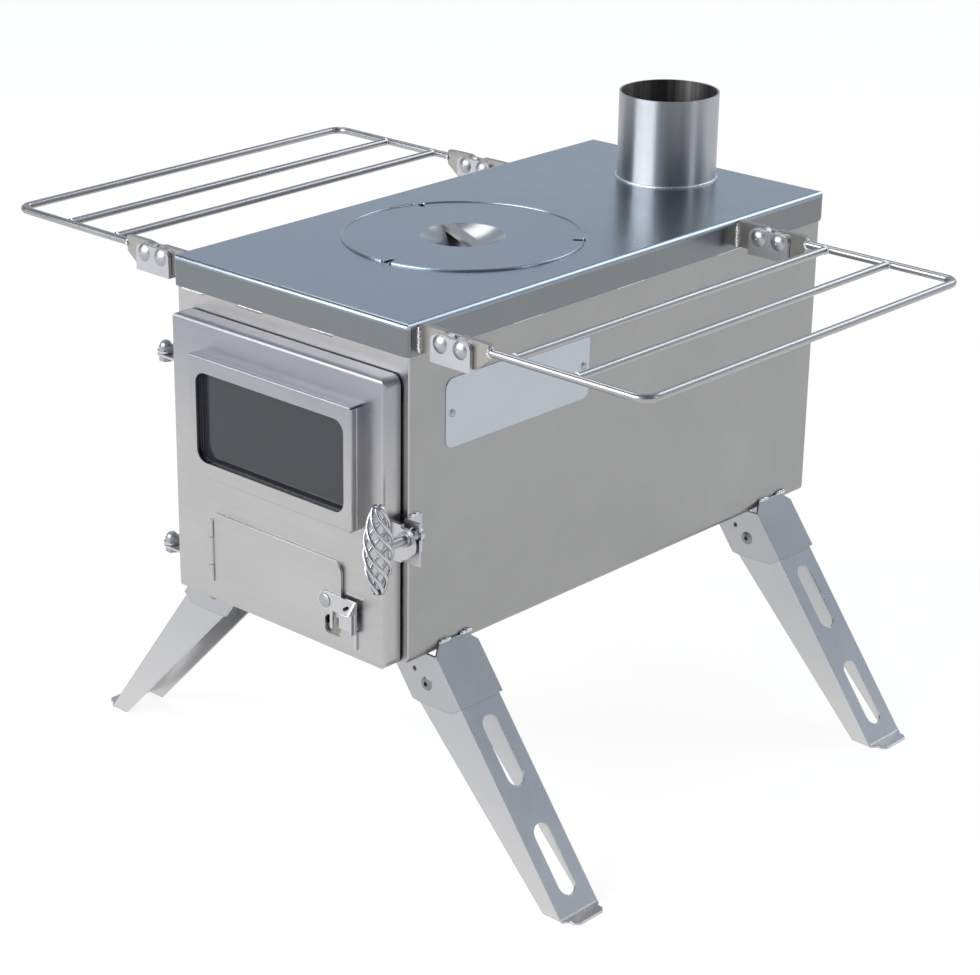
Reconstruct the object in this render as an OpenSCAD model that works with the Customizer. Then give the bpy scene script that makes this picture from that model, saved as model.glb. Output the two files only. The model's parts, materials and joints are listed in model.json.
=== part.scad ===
// Portable wood stove for a tent: folded sheet steel firebox on four folding legs,
// a glazed door with an ash door in it, a lift-off hotplate and two fold-over side racks.
// Units are millimetres. X runs across the stove, Y from the door to the back, Z up.
// The origin is on the ground, in the middle of everything the stove covers.

/* [Firebox] */
// Width of the top plate
top_w = 204; // [192:1:230]
// Length of the top plate, front to back
top_l = 404; // [384:1:480]
// Height of the firebox, from its floor to the top of the top plate
box_h = 217; // [210:1:250]
// Thickness of the folded sheet
sheet_t = 1.5; // [1.2:0.1:1.8]
// Height of the skirt that is turned down round the top plate
skirt_h = 20; // [17:1:24]
// Bend radius of the folded edges, measured outside
bend_r = 3; // [2.2:0.1:4]
// Space between the skirt and the firebox wall
skirt_gap = 0.5; // [0.3:0.1:1]
// Height of the firebox floor above the ground
ground_h = 143.5; // [125:0.5:160]

/* [Hotplate and flue] */
// Radius of the lift-off hotplate cover
cover_r = 77.7; // [64:0.1:82]
// Distance of the cover's centre from the front edge of the top plate
cover_y = 156; // [140:1:180]
// Thickness of the cover
cover_t = 2; // [1.5:0.1:2.5]
// Radius of the dish that is pressed into the cover
dish_r = 27; // [22:0.5:32]
// Depth of the dish
dish_d = 8; // [5:0.5:11]
// Width of the lifting bar across the dish
lift_bar_w = 8; // [5:0.5:11]
// Width of the seat ring that the cover rests on
seat_w = 9; // [6:0.5:12]
// Inside radius of the flue collar
flue_r = 32.5; // [27:0.5:38]
// Height of the flue collar above the top plate
flue_h = 59; // [40:1:90]
// Distance of the flue's centre from the back edge of the top plate
flue_back = 43; // [41:1:60]

/* [Door] */
// Depth of the door pan
door_d = 13.5; // [11:0.5:16]
// Gap between the door pan and the front frame
door_gap = 1.5; // [1.2:0.1:3]
// Gap between the skirt and the top of the door
door_drop = 12; // [8:0.5:18]
// Distance that the door pan stays inside the firebox wall on the hinge side
hinge_margin = 9; // [7:0.5:14]
// Distance that the door pan stays inside the firebox wall on the latch side
latch_margin = 4.5; // [2:0.5:6]
// Distance that the door pan hangs below the firebox floor
door_hang = 1; // [0:0.5:2]
// Corner radius of the door pan
door_corner_r = 6; // [4:0.5:9]
// Width of the front frame that the door covers on each side
frame_lap = 9; // [7:0.5:12]

/* [Window] */
// Height of the window frame as a share of the door's height
window_share = 0.425; // [0.36:0.005:0.45]
// Distance of the window frame from the hinge edge of the door
window_left = 26.5; // [20:0.5:32]
// Distance of the window frame from the latch edge of the door
window_right = 17.5; // [15:0.5:28]
// Distance of the window frame from the top edge of the door
window_drop = 18.5; // [14:0.5:24]
// Width of the frame's face at the sides
window_side = 6.5; // [5:0.5:9]
// Width of the frame's face at the top and the bottom
window_band = 10; // [8:0.5:13]
// Depth of the lower frame pan, which holds the glass
window_base_d = 5.8; // [5:0.1:7]
// Depth of the upper frame pan
window_cap_d = 4.2; // [3.5:0.1:6]

/* [Ash door] */
// Distance of the ash door from the hinge edge of the door pan
ash_left = 38; // [34:0.5:42]
// Distance of the ash door from the latch edge of the door pan
ash_right = 34.5; // [32:0.5:44]
// Height of the ash door as a share of the door's height
ash_share = 0.274; // [0.26:0.002:0.29]
// Distance of the ash door's bottom edge from the bottom of the door pan
ash_rise = 10.5; // [8:0.5:13]
// Thickness of the ash door
ash_t = 2; // [1.5:0.1:2.5]
// Outside radius of the ash door's hinge barrels
barrel_r = 2.1; // [1.9:0.1:2.4]
// Distance of the ash door's hinge from its top and bottom edges
barrel_in = 4.5; // [4.5:0.5:8]

/* [Latch] */
// Height of the latch spindle above the firebox floor
latch_rise = 88.5; // [80:0.5:100]
// Distance of the latch spindle outside the firebox wall
latch_out = 8; // [7.5:0.1:9]
// Radius of the latch spindle
spindle_r = 3.2; // [2.8:0.1:3.4]
// Length of the twisted basket handle
basket_l = 54; // [44:1:64]
// Radius of the basket handle at its middle, to the wires' centres
basket_r = 8.3; // [7:0.1:10]
// Number of twisted wires
wire_count = 6; // [4:1:6]
// Radius of the basket's wires
wire_r = 1.2; // [0.8:0.05:1.25]
// Distance of the basket's axis in front of the top plate's front edge
basket_reach = 31; // [28:0.5:36]

/* [Legs] */
// Angle of the opened legs from upright, in degrees
leg_angle = 36.5; // [30:0.5:38]
// Width of the leg brackets along the stove
bracket_w = 38; // [32:0.5:46]
// Distance of each bracket from the nearer end of the top plate
leg_inset = 22; // [18:0.5:40]
// Height of the leg pivot below the firebox floor
pivot_drop = 20; // [18.5:0.1:21]
// Distance of the leg pivot inside the firebox wall
pivot_in = 2.5; // [1:0.1:3]
// Width of the slots in the legs
slot_w = 14; // [10:0.5:18]
// Reach of the foot lip beyond the leg
lip_l = 9; // [6:0.5:12]

/* [Side racks] */
// Distance of the outer rod's centre from the stove's middle
rack_reach = 269.3; // [255:0.1:285]
// Distance between the front rod and the back rod
rack_l = 299.5; // [280:0.5:302]
// Distance of the front rod from the front edge of the top plate
rack_y = 10.8; // [9:0.1:16]
// Radius of the rods
rod_r = 2.5; // [2:0.1:2.8]
// Distance between the two rivets of a hinge link
link_pitch = 15.6; // [15.6:0.1:18]
// Distance of the first rivet outside the top plate
link_out = 19.2; // [17:0.1:22]
// Thickness of the flat hinge bars
bar_t = 4; // [3:0.1:5]
// Thickness of the hinge link's cheeks
cheek_t = 2.5; // [1.8:0.1:3]

/* [Hidden] */
$fn = 48;
// Overrun of cuts and the two running clearances
over = 1;
run_gap = 0.3;
pin_gap = 0.05;

// Firebox, worked out from its outside sizes
box_in = sheet_t + skirt_gap;
box_w = top_w - 2 * box_in;
box_l = top_l - 2 * box_in;
z_floor = ground_h;
z_top = ground_h + box_h;
z_lid_under = z_top - sheet_t;
skirt_cut = 5;
floor_bend_r = 4;

// The front edge of the top plate, so that the origin is midway between basket and back
front_reach = basket_reach + basket_r + wire_r;
y_front = (front_reach - top_l) / 2;

// Front frame and door
door_x0 = -box_w / 2 + hinge_margin;
door_x1 = box_w / 2 - latch_margin;
door_z0 = z_floor - door_hang;
door_z1 = z_top - skirt_h - door_drop;
door_w = door_x1 - door_x0;
door_h = door_z1 - door_z0;
door_xc = (door_x0 + door_x1) / 2;
door_zc = (door_z0 + door_z1) / 2;
door_back = box_in - door_gap;
door_face = door_back - door_d;
mouth_w = door_w - 2 * frame_lap;
mouth_z0 = z_floor + frame_lap + sheet_t;
mouth_z1 = door_z1 - frame_lap;
mouth_lip = 8;
mouth_r = 6;

// Window
window_w = door_w - window_left - window_right;
window_h = door_h * window_share;
window_xc = door_x0 + window_left + window_w / 2;
window_zc = door_z1 - window_drop - window_h / 2;
sight_w = window_w - 2 * window_side;
sight_h = window_h - 2 * window_band;
sight_r = 8;
window_t = 1.2;
base_rim = 2.5;
glass_gap = 0.4;
glass_t = window_base_d - window_t - glass_gap;
relief = 2.6;
glass_lap = 3;

// Ash door
ash_w = door_w - ash_left - ash_right;
ash_h = door_h * ash_share;
ash_x0 = door_x0 + ash_left;
ash_x1 = ash_x0 + ash_w;
ash_z0 = door_z0 + ash_rise;
ash_z1 = ash_z0 + ash_h;
ash_back = door_face - run_gap;
ash_front = ash_back - ash_t;
ash_corner_r = 7;
ash_lap = 6;
barrel_x = ash_x0 - barrel_r - run_gap;
barrel_y = door_face - barrel_r - pin_gap;
barrel_zc = ash_z0 + ash_h / 2;
ash_pin_r = 1.1;
middle_share = 0.44;
barrel_l = ash_h - 2 * barrel_in;
barrel_mid = barrel_l * middle_share;
draft_w = 18;
draft_h = 13;
draft_r = 4;
draft_lap = 14;
draft_rise = 1.5;
draft_x0 = ash_x1 - draft_lap;
draft_z0 = ash_z0 + draft_rise;

// Ash door latch, measured from its rivet
comb_lap = 12.4;
comb_up = 23.7;
comb_x = ash_x1 - comb_lap;
comb_z = ash_z0 + comb_up;
comb_t = 1.5;
comb_r = 6;
comb_reach = 26.3;
comb_root = 5;
finger_x = 4.4;
finger_w = 2.2;
finger_drop = 16.9;
tongue_x = 12.2;
tongue_drop = 14.5;
comb_slot_x = 18.2;
comb_slot_w = 2.2;
comb_slot_l = 6;
comb_slot_turn = 35;
lift_tab_h = 7;
lift_tab_out = 6;
comb_rivet_r = 1.6;
comb_head_r = 4.7;
comb_head_h = 1.1;
comb_back = ash_front - run_gap;
comb_front = comb_back - comb_t;
strap_t = 1.2;
strap_w = 2.3;
strap_x = comb_x + 22;
strap_top = comb_z + run_gap;
strap_bottom = comb_z - 26.6;
strap_ledge = comb_z - tongue_drop - run_gap;
strap_back = comb_front - run_gap;
arm_x = 15.1;
arm_low = 10.9;
arm_h = 6.5;

// Door hinges: upright bolts beside the firebox wall
hinge_out = 5.5;
hinge_x = -box_w / 2 - hinge_out;
hinge_y = -5;
bolt_r = 2.5;
ear_r = 5.5;
ear_t = 1.5;
ear_back = 20;
ear_fold = 8;
hinge_drops = [44, 175];
nut_flat = 8;
nut_h = 3;
nut_dome = 3.4;
head_h = 3.5;
hinge_zs = [for (drop = hinge_drops) z_top - skirt_h - drop];

// Door latch
latch_x = box_w / 2 + latch_out;
latch_z = z_floor + latch_rise;
lug_t = 3;
lug_set = 4.5;
lug_y = door_face + lug_set;
lug_r = 10;
lug_in = 3.5;
lug_drop = 4;
lug_root = 24;
keeper_t = 1.5;
keeper_set = 3;
keeper_y = box_in - keeper_set;
keeper_back = 13;
keeper_up = 8.5;
keeper_down = 19;
keeper_reach = 12.5;
cam_t = 3;
cam_r = 4.4;
cam_l = 10.5;
cam_w = 5;
cam_y = keeper_y + keeper_t + run_gap;
cam_gap = 0.7;
collar_r = 4.8;
collar_t = 2;

// Basket handle: the wires' path swells from the ends to the middle
basket_end_r = 2.7;
basket_pitch = 62;
basket_turn = 360 * basket_l / basket_pitch;
basket_rings = 32;
swell_share = 0.85;
wire_sides = 8;
basket_cap_t = 1.6;

// Legs, drawn upright about their pivot and then tilted
pivot_x = box_w / 2 - pivot_in;
pivot_z = z_floor - pivot_drop;
leg_t = 1.5;
bracket_t = 1.5;
leg_side_gap = 0.25;
leg_w = bracket_w - 2 * bracket_t - 2 * leg_side_gap;
face_n = 17;
ear_n = 17.5;
ear_low = 8;
bracket_low = 23.5;
bracket_corner = 7;
leg_top_r = 16;
foot_n = 10;
leg_slot_l = 47;
leg_slot_starts = [33, 106];
leg_rivet_r = 2.5;
leg_rivet_bore = 1.5;
leg_rivet_head = 4.6;
leg_rivet_h = 1.2;
leg_rivet_tail = 3.4;
ear_hole_r = 1.6;
ear_hole_n = 4.1;
ear_hole_up = 11.9;
lip_corner = 3;
lip_side = 4;
lip_inset = 0.4;
leg_run = pivot_z / cos(leg_angle) + face_n;

// Rack hinges, measured from the first rivet
rivet_drop = 8.2;
rivet_x = top_w / 2 + link_out;
rivet_z = z_top - rivet_drop;
bar_gap = 0.4;
bar_top_r = link_pitch / 2 - bar_gap;
bar_low_r = 10;
web_t = 2;
web_gap = 0.3;
cheek_top = 5.2;
cheek_end = 7.7;
cheek_corner = 4.5;
link_rivet_r = 2.2;
link_head_r = 5.6;
link_head_h = 2.4;
end_bar_l = 19.2;
end_bar_tip = 10;
rod_rise = 2.2;
rod_bend_r = 9;
rod_x0 = rivet_x + link_pitch + end_bar_l;
inner_rod_off = 15.8;
middle_rod_share = 0.475;
rack_ys = [rack_y, rack_y + rack_l];
inner_rod_x = rod_x0 + inner_rod_off;
middle_rod_x = inner_rod_x + (rack_reach - inner_rod_x) * middle_rod_share;

// Grate
grate_t = 3;
grate_rise = 50;
grate_z = z_floor + grate_rise;
grate_gap = 2;
rail_w = 10;
rail_share = 0.85;
rail_l = rail_share * box_l;
grate_slot_w = 6;
grate_slot_l = 70;
grate_pitch = 16;
grate_rows = 3;

// Everything is drawn from the front edge of the top plate and then moved as one
module stove() {
    translate([0, y_front, 0]) children();
}

// Extrudes an outline of X and Z from y0 back to y1
module along_y(y0, y1) {
    translate([0, y1, 0]) rotate([90, 0, 0]) linear_extrude(y1 - y0) children();
}

// Extrudes an outline of Y and Z from x0 across to x1
module along_x(x0, x1) {
    translate([x0, 0, 0]) rotate([90, 0, 90]) linear_extrude(x1 - x0) children();
}

// Stands a shape that was drawn lying face up against the plane at y, facing the front
module facing_front(y, xc, zc) {
    translate([xc, y, zc]) rotate([90, 0, 0]) children();
}

module rounded_rect(w, h, r) {
    square([w, h - 2 * r], center = true);
    square([w - 2 * r, h], center = true);
    for (x = [-1, 1], y = [-1, 1])
        translate([x * (w / 2 - r), y * (h / 2 - r)]) circle(r);
}

// A slot of length l along X with round ends
module stadium(l, w) {
    square([l - w, w], center = true);
    for (x = [-1, 1]) translate([x * (l - w) / 2, 0]) circle(w / 2);
}

// A rectangle standing on its base with the two top corners rounded
module round_topped(w, h, r) {
    translate([-w / 2, 0]) square([w, h - r]);
    translate([-w / 2 + r, 0]) square([w - 2 * r, h]);
    for (x = [-1, 1]) translate([x * (w / 2 - r), h - r]) circle(r);
}

// A block with round upright corners and round edges to its top face
module soft_block(w, l, h, corner, edge) {
    intersection() {
        linear_extrude(h) rounded_rect(w, l, corner);
        translate([0, l / 2, 0]) rotate([90, 0, 0]) linear_extrude(l) round_topped(w, h, edge);
        translate([-w / 2, 0, 0]) rotate([90, 0, 90]) linear_extrude(w) round_topped(l, h, edge);
    }
}

// A folded pan, open below
module pan(w, l, h, t, corner, edge) {
    difference() {
        soft_block(w, l, h, corner, edge);
        translate([0, 0, -over])
            soft_block(w - 2 * t, l - 2 * t, h - t + over, max(corner - t, t / 4), t / 4);
    }
}

// A domed head standing on the XY plane
module dome(r, h) {
    ball = (r * r + h * h) / (2 * h);
    rotate_extrude() intersection() {
        translate([0, h - ball]) circle(ball);
        square([r, h]);
    }
}

// Draws its children on the given side of the stove: 1 right, -1 left
module on_side(side) {
    if (side > 0) children();
    else mirror([1, 0, 0]) children();
}

// Firebox

module box_outline(inset) {
    w = box_w - 2 * inset;
    h = z_lid_under - z_floor - inset;
    translate([0, z_lid_under]) mirror([0, 1]) round_topped(w, h, floor_bend_r - inset);
}

module firebox_wrap() {
    color([0.72, 0.72, 0.73]) stove() along_y(box_in + sheet_t, box_in + box_l - sheet_t)
        difference() {
            box_outline(0);
            box_outline(sheet_t);
            translate([-box_w / 2 + sheet_t, z_lid_under - over]) square([box_w - 2 * sheet_t, 2 * over]);
        }
}

module back_panel() {
    color([0.7, 0.7, 0.71]) stove()
        along_y(box_in + box_l - sheet_t, box_in + box_l) box_outline(0);
}

module mouth_outline(grow) {
    translate([door_xc, (mouth_z0 + mouth_z1) / 2])
        rounded_rect(mouth_w + 2 * grow, mouth_z1 - mouth_z0 + 2 * grow, mouth_r + grow);
}

module front_frame() {
    color([0.72, 0.72, 0.73]) stove() {
        along_y(box_in, box_in + sheet_t) difference() {
            box_outline(0);
            mouth_outline(0);
        }
        along_y(box_in + sheet_t, box_in + mouth_lip) difference() {
            mouth_outline(sheet_t);
            mouth_outline(0);
        }
    }
}

module top_plate() {
    color([0.55, 0.6, 0.65]) stove() difference() {
        translate([0, top_l / 2, z_top - skirt_h]) pan(top_w, top_l, skirt_h, sheet_t, bend_r, bend_r);
        translate([0, cover_y, z_lid_under - over])
            cylinder(r = cover_r + run_gap, h = sheet_t + 2 * over, $fn = 96);
        translate([0, top_l - flue_back, z_lid_under - over])
            cylinder(r = flue_r + run_gap, h = sheet_t + 2 * over, $fn = 96);
        for (side = [-1, 1]) translate([side * top_w / 2, top_l, z_top - skirt_h])
            rotate([45, 0, 0]) cube(skirt_cut, center = true);
    }
}

module hotplate_seat() {
    color([0.6, 0.6, 0.62]) stove() translate([0, cover_y, z_lid_under - sheet_t])
        rotate_extrude($fn = 96) translate([cover_r - seat_w / 2, 0]) square([seat_w, sheet_t]);
}

module flue_collar() {
    color([0.7, 0.69, 0.68]) stove() translate([0, top_l - flue_back, z_top]) difference() {
        cylinder(r = flue_r + sheet_t, h = flue_h, $fn = 96);
        translate([0, 0, -over]) cylinder(r = flue_r, h = flue_h + 2 * over, $fn = 96);
    }
}

// Hotplate cover: flat rim, pressed dish and three poker notches

cover_top = z_lid_under + cover_t;
dish_ball = (dish_r * dish_r + dish_d * dish_d) / (2 * dish_d);
notch_w = 3.6;
notch_l = 8;
notch_first = 35;
lift_bar_turn = -25.7;
lift_bar_t = 3;

module dish_section() {
    translate([0, dish_ball - dish_d]) intersection() {
        difference() {
            circle(dish_ball + sheet_t, $fn = 96);
            circle(dish_ball, $fn = 96);
        }
        translate([0, -dish_ball - sheet_t]) square([dish_r + sheet_t, dish_d + sheet_t]);
    }
}

module hotplate_cover() {
    color([0.58, 0.63, 0.68]) stove() translate([0, cover_y, cover_top]) difference() {
        rotate_extrude($fn = 96) union() {
            translate([dish_r, -cover_t]) square([cover_r - dish_r, cover_t]);
            dish_section();
        }
        for (k = [0:2]) rotate(notch_first + 120 * k) translate([cover_r, 0, -cover_t - over])
            linear_extrude(cover_t + 2 * over) stadium(2 * notch_l, notch_w);
    }
}

module hotplate_bar() {
    color([0.72, 0.72, 0.72]) stove() translate([0, cover_y, cover_top]) intersection() {
        rotate(lift_bar_turn) translate([0, 0, -lift_bar_t / 2])
            cube([2 * dish_r, lift_bar_w, lift_bar_t], center = true);
        translate([0, 0, dish_ball - dish_d]) sphere(dish_ball, $fn = 96);
    }
}

// Grate

module grate_rails() {
    color([0.6, 0.6, 0.61]) stove() for (side = [-1, 1]) on_side(side)
        along_y(top_l / 2 - rail_l / 2, top_l / 2 + rail_l / 2)
            translate([box_w / 2 - sheet_t - rail_w, grate_z - sheet_t]) union() {
                square([rail_w, sheet_t]);
                translate([rail_w - sheet_t, -rail_w + sheet_t]) square([sheet_t, rail_w]);
            }
}

module fire_grate() {
    w = box_w - 2 * sheet_t - 2 * grate_gap;
    l = rail_l;
    step = (l - 2 * grate_pitch) / grate_rows;
    columns = floor((w - 2 * grate_pitch) / grate_pitch);
    color([0.5, 0.5, 0.51]) stove() translate([0, top_l / 2, grate_z]) linear_extrude(grate_t)
        difference() {
            square([w, l], center = true);
            for (i = [0:columns], j = [0:grate_rows - 1])
                translate([(i - columns / 2) * grate_pitch, (j - (grate_rows - 1) / 2) * step])
                    rotate(90) stadium(min(grate_slot_l, step - grate_pitch), grate_slot_w);
        }
}

// Door pan and window

module door_panel() {
    color([0.75, 0.73, 0.73]) stove() difference() {
        facing_front(door_back, door_xc, door_zc)
            pan(door_w, door_h, door_d, sheet_t, door_corner_r, bend_r);
        along_y(door_face - over, door_back) {
            translate([window_xc, window_zc])
                rounded_rect(sight_w - glass_lap, sight_h - glass_lap, sight_r);
            translate([(ash_x0 + ash_x1) / 2 - ash_lap / 2, (ash_z0 + ash_z1) / 2])
                rounded_rect(ash_w - 3 * ash_lap, ash_h - 2 * ash_lap, ash_corner_r / 2);
        }
    }
}

module window_pan(depth, open_w, open_h, y) {
    difference() {
        facing_front(y, window_xc, window_zc) difference() {
            pan(window_w, window_h, depth, window_t, window_t, window_t);
            for (x = [-1, 1], z = [-1, 1]) translate([x * window_w / 2, z * window_h / 2, -over])
                linear_extrude(depth + 2 * over) square(relief, center = true);
        }
        along_y(y - depth - over, y) translate([window_xc, window_zc])
            rounded_rect(open_w, open_h, sight_r);
    }
}

module window_base() {
    color([0.7, 0.69, 0.69]) stove()
        window_pan(window_base_d, sight_w + base_rim, sight_h + base_rim, door_face);
}

module window_cap() {
    color([0.76, 0.75, 0.75]) stove()
        window_pan(window_cap_d, sight_w, sight_h, door_face - window_base_d);
}

module window_glass() {
    color([0.2, 0.22, 0.24, 0.6]) stove() along_y(door_face - glass_gap / 2 - glass_t, door_face - glass_gap / 2)
        translate([window_xc, window_zc]) rounded_rect(window_w - 2 * window_t - relief,
            window_h - 2 * window_t - relief, relief);
}

// Door hinges

module ear_outline(x_far, y0, y1) {
    translate([hinge_x, hinge_y]) circle(ear_r);
    translate([hinge_x, y0]) square([x_far - hinge_x, y1 - y0]);
}

module bolt_hole() {
    translate([hinge_x, hinge_y]) circle(bolt_r + pin_gap);
}

module hinge_ears_fixed() {
    color([0.75, 0.75, 0.76]) stove() for (z = hinge_zs) {
        translate([0, 0, z]) linear_extrude(ear_t) difference() {
            union() {
                ear_outline(-box_w / 2 - run_gap, hinge_y, box_in);
                translate([hinge_x - ear_r, hinge_y]) square([ear_r, ear_back - hinge_y]);
                translate([hinge_x, box_in]) square([hinge_out, ear_back - box_in]);
            }
            bolt_hole();
        }
        translate([-box_w / 2 - ear_t, box_in + sheet_t, z - ear_fold])
            cube([ear_t, ear_back - box_in - sheet_t, ear_fold]);
    }
}

module hinge_ears_door() {
    color([0.75, 0.75, 0.76]) stove() for (z = hinge_zs)
        translate([0, 0, z - run_gap - ear_t]) linear_extrude(ear_t) difference() {
            ear_outline(door_x0, hinge_y - ear_r, door_back - bend_r / 2);
            bolt_hole();
        }
}

module hinge_bolts() {
    head_top = -2 * run_gap - ear_t;
    color([0.8, 0.8, 0.82]) stove() for (z = hinge_zs) translate([hinge_x, hinge_y, z]) {
        translate([0, 0, head_top]) cylinder(r = bolt_r, h = ear_t - head_top + nut_h);
        translate([0, 0, head_top - head_h]) cylinder(d = nut_flat / cos(30), h = head_h, $fn = 6);
    }
}

module hinge_acorn_nuts() {
    color([0.85, 0.85, 0.87]) stove() for (z = hinge_zs) translate([hinge_x, hinge_y, z + ear_t])
        difference() {
            union() {
                cylinder(d = nut_flat / cos(30), h = nut_h, $fn = 6);
                translate([0, 0, nut_h]) dome(nut_flat / 2, nut_dome);
            }
            translate([0, 0, -over]) cylinder(r = bolt_r, h = nut_h + over);
        }
}

// Door latch

module latch_lug() {
    color([0.74, 0.74, 0.74]) stove() along_y(lug_y, lug_y + lug_t) difference() {
        union() {
            intersection() {
                translate([latch_x - lug_in, latch_z - lug_drop]) circle(lug_r);
                translate([door_x1, latch_z - latch_rise]) square(latch_rise * 2);
            }
            translate([door_x1, latch_z - lug_drop - lug_root / 2])
                square([latch_x - lug_in - door_x1, lug_root]);
        }
        translate([latch_x, latch_z]) circle(spindle_r + pin_gap);
    }
}

module latch_spindle() {
    front = -basket_reach + basket_r;
    color([0.8, 0.8, 0.8]) stove() translate([latch_x, 0, latch_z]) {
        translate([0, cam_y + cam_t, 0]) rotate([90, 0, 0])
            cylinder(r = spindle_r, h = cam_y + cam_t - front);
        translate([0, lug_y - run_gap, 0]) rotate([90, 0, 0]) difference() {
            cylinder(r = collar_r, h = collar_t);
            translate([0, 0, -over]) cylinder(r = spindle_r, h = collar_t + 2 * over);
        }
    }
}

module latch_cam() {
    color([0.7, 0.7, 0.7]) stove() along_y(cam_y, cam_y + cam_t) translate([latch_x, latch_z])
        difference() {
            union() {
                circle(cam_r);
                translate([-cam_w / 2, -cam_l]) square([cam_w, cam_l]);
            }
            circle(spindle_r + pin_gap);
        }
}

module latch_keeper() {
    x0 = box_w / 2;
    z0 = latch_z - keeper_down;
    high = keeper_down + keeper_up;
    color([0.74, 0.74, 0.74]) stove() {
        along_x(x0, x0 + keeper_t) difference() {
            translate([keeper_y + keeper_t, z0]) square([keeper_back - keeper_y - keeper_t, high]);
            translate([keeper_back, z0]) rotate(45) square(1.5 * bend_r, center = true);
        }
        along_y(keeper_y, keeper_y + keeper_t) difference() {
            translate([x0, z0]) square([keeper_reach, high]);
            translate([latch_x, latch_z]) circle(cam_r + cam_gap);
            translate([latch_x, latch_z - cam_w / 2 - cam_gap])
                square([cam_l, cam_w + 2 * cam_gap]);
        }
    }
}

// Basket handle: each wire is one tube along a helix whose radius swells in the middle

function swell(s) = basket_end_r + (basket_r - basket_end_r) * pow(sin(180 * s), swell_share);
function wire_point(s, phase) =
    let (turn = phase - basket_turn * (s - 0.5))
    [swell(s) * cos(turn), swell(s) * sin(turn), basket_l * (s - 0.5)];
function unit(v) = v / norm(v);
function wire_ring(s, phase) =
    let (
        step = 0.5 / basket_rings,
        here = wire_point(s, phase),
        along = s <= 0 || s >= 1 ? [0, 0, 1]
            : unit(wire_point(s + step, phase) - wire_point(s - step, phase)),
        outward = unit([here[0], here[1], 0]),
        side = unit(cross(along, outward)),
        out = cross(side, along)
    )
    [for (k = [0:wire_sides - 1])
        here + wire_r * (cos(360 * k / wire_sides) * out + sin(360 * k / wire_sides) * side)];

module basket_wire(phase) {
    rings = [for (i = [0:basket_rings]) wire_ring(i / basket_rings, phase)];
    points = [for (ring = rings) each ring];
    walls = [for (i = [0:basket_rings - 1], k = [0:wire_sides - 1])
        let (a = i * wire_sides, b = a + wire_sides, n = (k + 1) % wire_sides)
        each [[a + k, b + k, b + n], [a + k, b + n, a + n]]];
    first = [for (k = [1:wire_sides - 2]) [0, k, k + 1]];
    last_start = basket_rings * wire_sides;
    last = [for (k = [1:wire_sides - 2]) [last_start, last_start + k + 1, last_start + k]];
    polyhedron(points, concat(walls, first, last));
}

module basket_wires() {
    color([0.8, 0.8, 0.82]) stove() translate([latch_x, -basket_reach, latch_z])
        for (k = [0:wire_count - 1]) basket_wire(90 + 360 * k / wire_count);
}

module basket_caps() {
    color([0.72, 0.72, 0.74]) stove() translate([latch_x, -basket_reach, latch_z])
        for (k = [0, 1]) mirror([0, 0, k]) translate([0, 0, basket_l / 2])
            dome(basket_end_r + wire_r, basket_cap_t);
}

// Ash door

module barrel(z0, length) {
    translate([barrel_x, barrel_y, z0]) difference() {
        cylinder(r = barrel_r, h = length);
        translate([0, 0, -over]) cylinder(r = ash_pin_r + pin_gap, h = length + 2 * over);
    }
}

module ash_barrels_fixed() {
    piece = (barrel_l - barrel_mid) / 2 - run_gap;
    color([0.74, 0.73, 0.73]) stove() {
        barrel(barrel_zc - barrel_l / 2, piece);
        barrel(barrel_zc + barrel_l / 2 - piece, piece);
    }
}

module ash_pin() {
    color([0.8, 0.8, 0.8]) stove() translate([barrel_x, barrel_y, barrel_zc - barrel_l / 2])
        cylinder(r = ash_pin_r, h = barrel_l);
}

module ash_barrel_moving() {
    color([0.74, 0.73, 0.73]) stove() barrel(barrel_zc - barrel_mid / 2, barrel_mid);
}

module ash_panel() {
    color([0.75, 0.73, 0.73]) stove() {
        along_y(ash_front, ash_back) difference() {
            union() {
                translate([ash_x0 + ash_w / 2, ash_z0 + ash_h / 2])
                    rounded_rect(ash_w, ash_h, ash_corner_r);
                translate([ash_x0, ash_z0]) square([ash_corner_r, ash_h]);
            }
            translate([draft_x0 + draft_w / 2, draft_z0 + draft_h / 2])
                rounded_rect(draft_w, draft_h, draft_r);
            translate([draft_x0 + draft_r, draft_z0]) square([draft_w, draft_h]);
            translate([comb_x, comb_z]) circle(comb_rivet_r);
        }
        difference() {
            translate([barrel_x, ash_front, barrel_zc - barrel_mid / 2])
                cube([ash_x0 - barrel_x, ash_t - run_gap, barrel_mid]);
            translate([barrel_x, barrel_y, 0]) cylinder(r = barrel_r, h = z_top);
        }
    }
}

module ash_latch_rivet() {
    shank = ash_back - ash_t / 2 - comb_front + run_gap;
    color([0.8, 0.8, 0.8]) stove() translate([comb_x, ash_back - ash_t / 2, comb_z])
        rotate([90, 0, 0]) {
            cylinder(r = comb_rivet_r, h = shank);
            translate([0, 0, shank]) dome(comb_head_r, comb_head_h);
        }
}

// A plate that hangs from its rivet, with a finger and a tongue below it
module comb_outline() {
    circle(comb_r);
    translate([0, -comb_root]) square([comb_reach, comb_root + comb_r]);
    translate([finger_x, -finger_drop]) square([finger_w, finger_drop]);
    translate([tongue_x, -tongue_drop]) square([comb_reach - tongue_x, tongue_drop]);
}

module ash_latch_comb() {
    color([0.78, 0.78, 0.78]) stove() translate([comb_x, 0, comb_z]) {
        along_y(comb_front, comb_back) difference() {
            comb_outline();
            circle(comb_rivet_r + pin_gap);
            translate([comb_slot_x, 0]) rotate(comb_slot_turn) stadium(comb_slot_l, comb_slot_w);
        }
        along_x(comb_reach - comb_t, comb_reach) polygon([
            [comb_front, comb_r], [comb_front - lift_tab_out, comb_r - lift_tab_h],
            [comb_front, comb_r - lift_tab_h]
        ]);
    }
}

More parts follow.
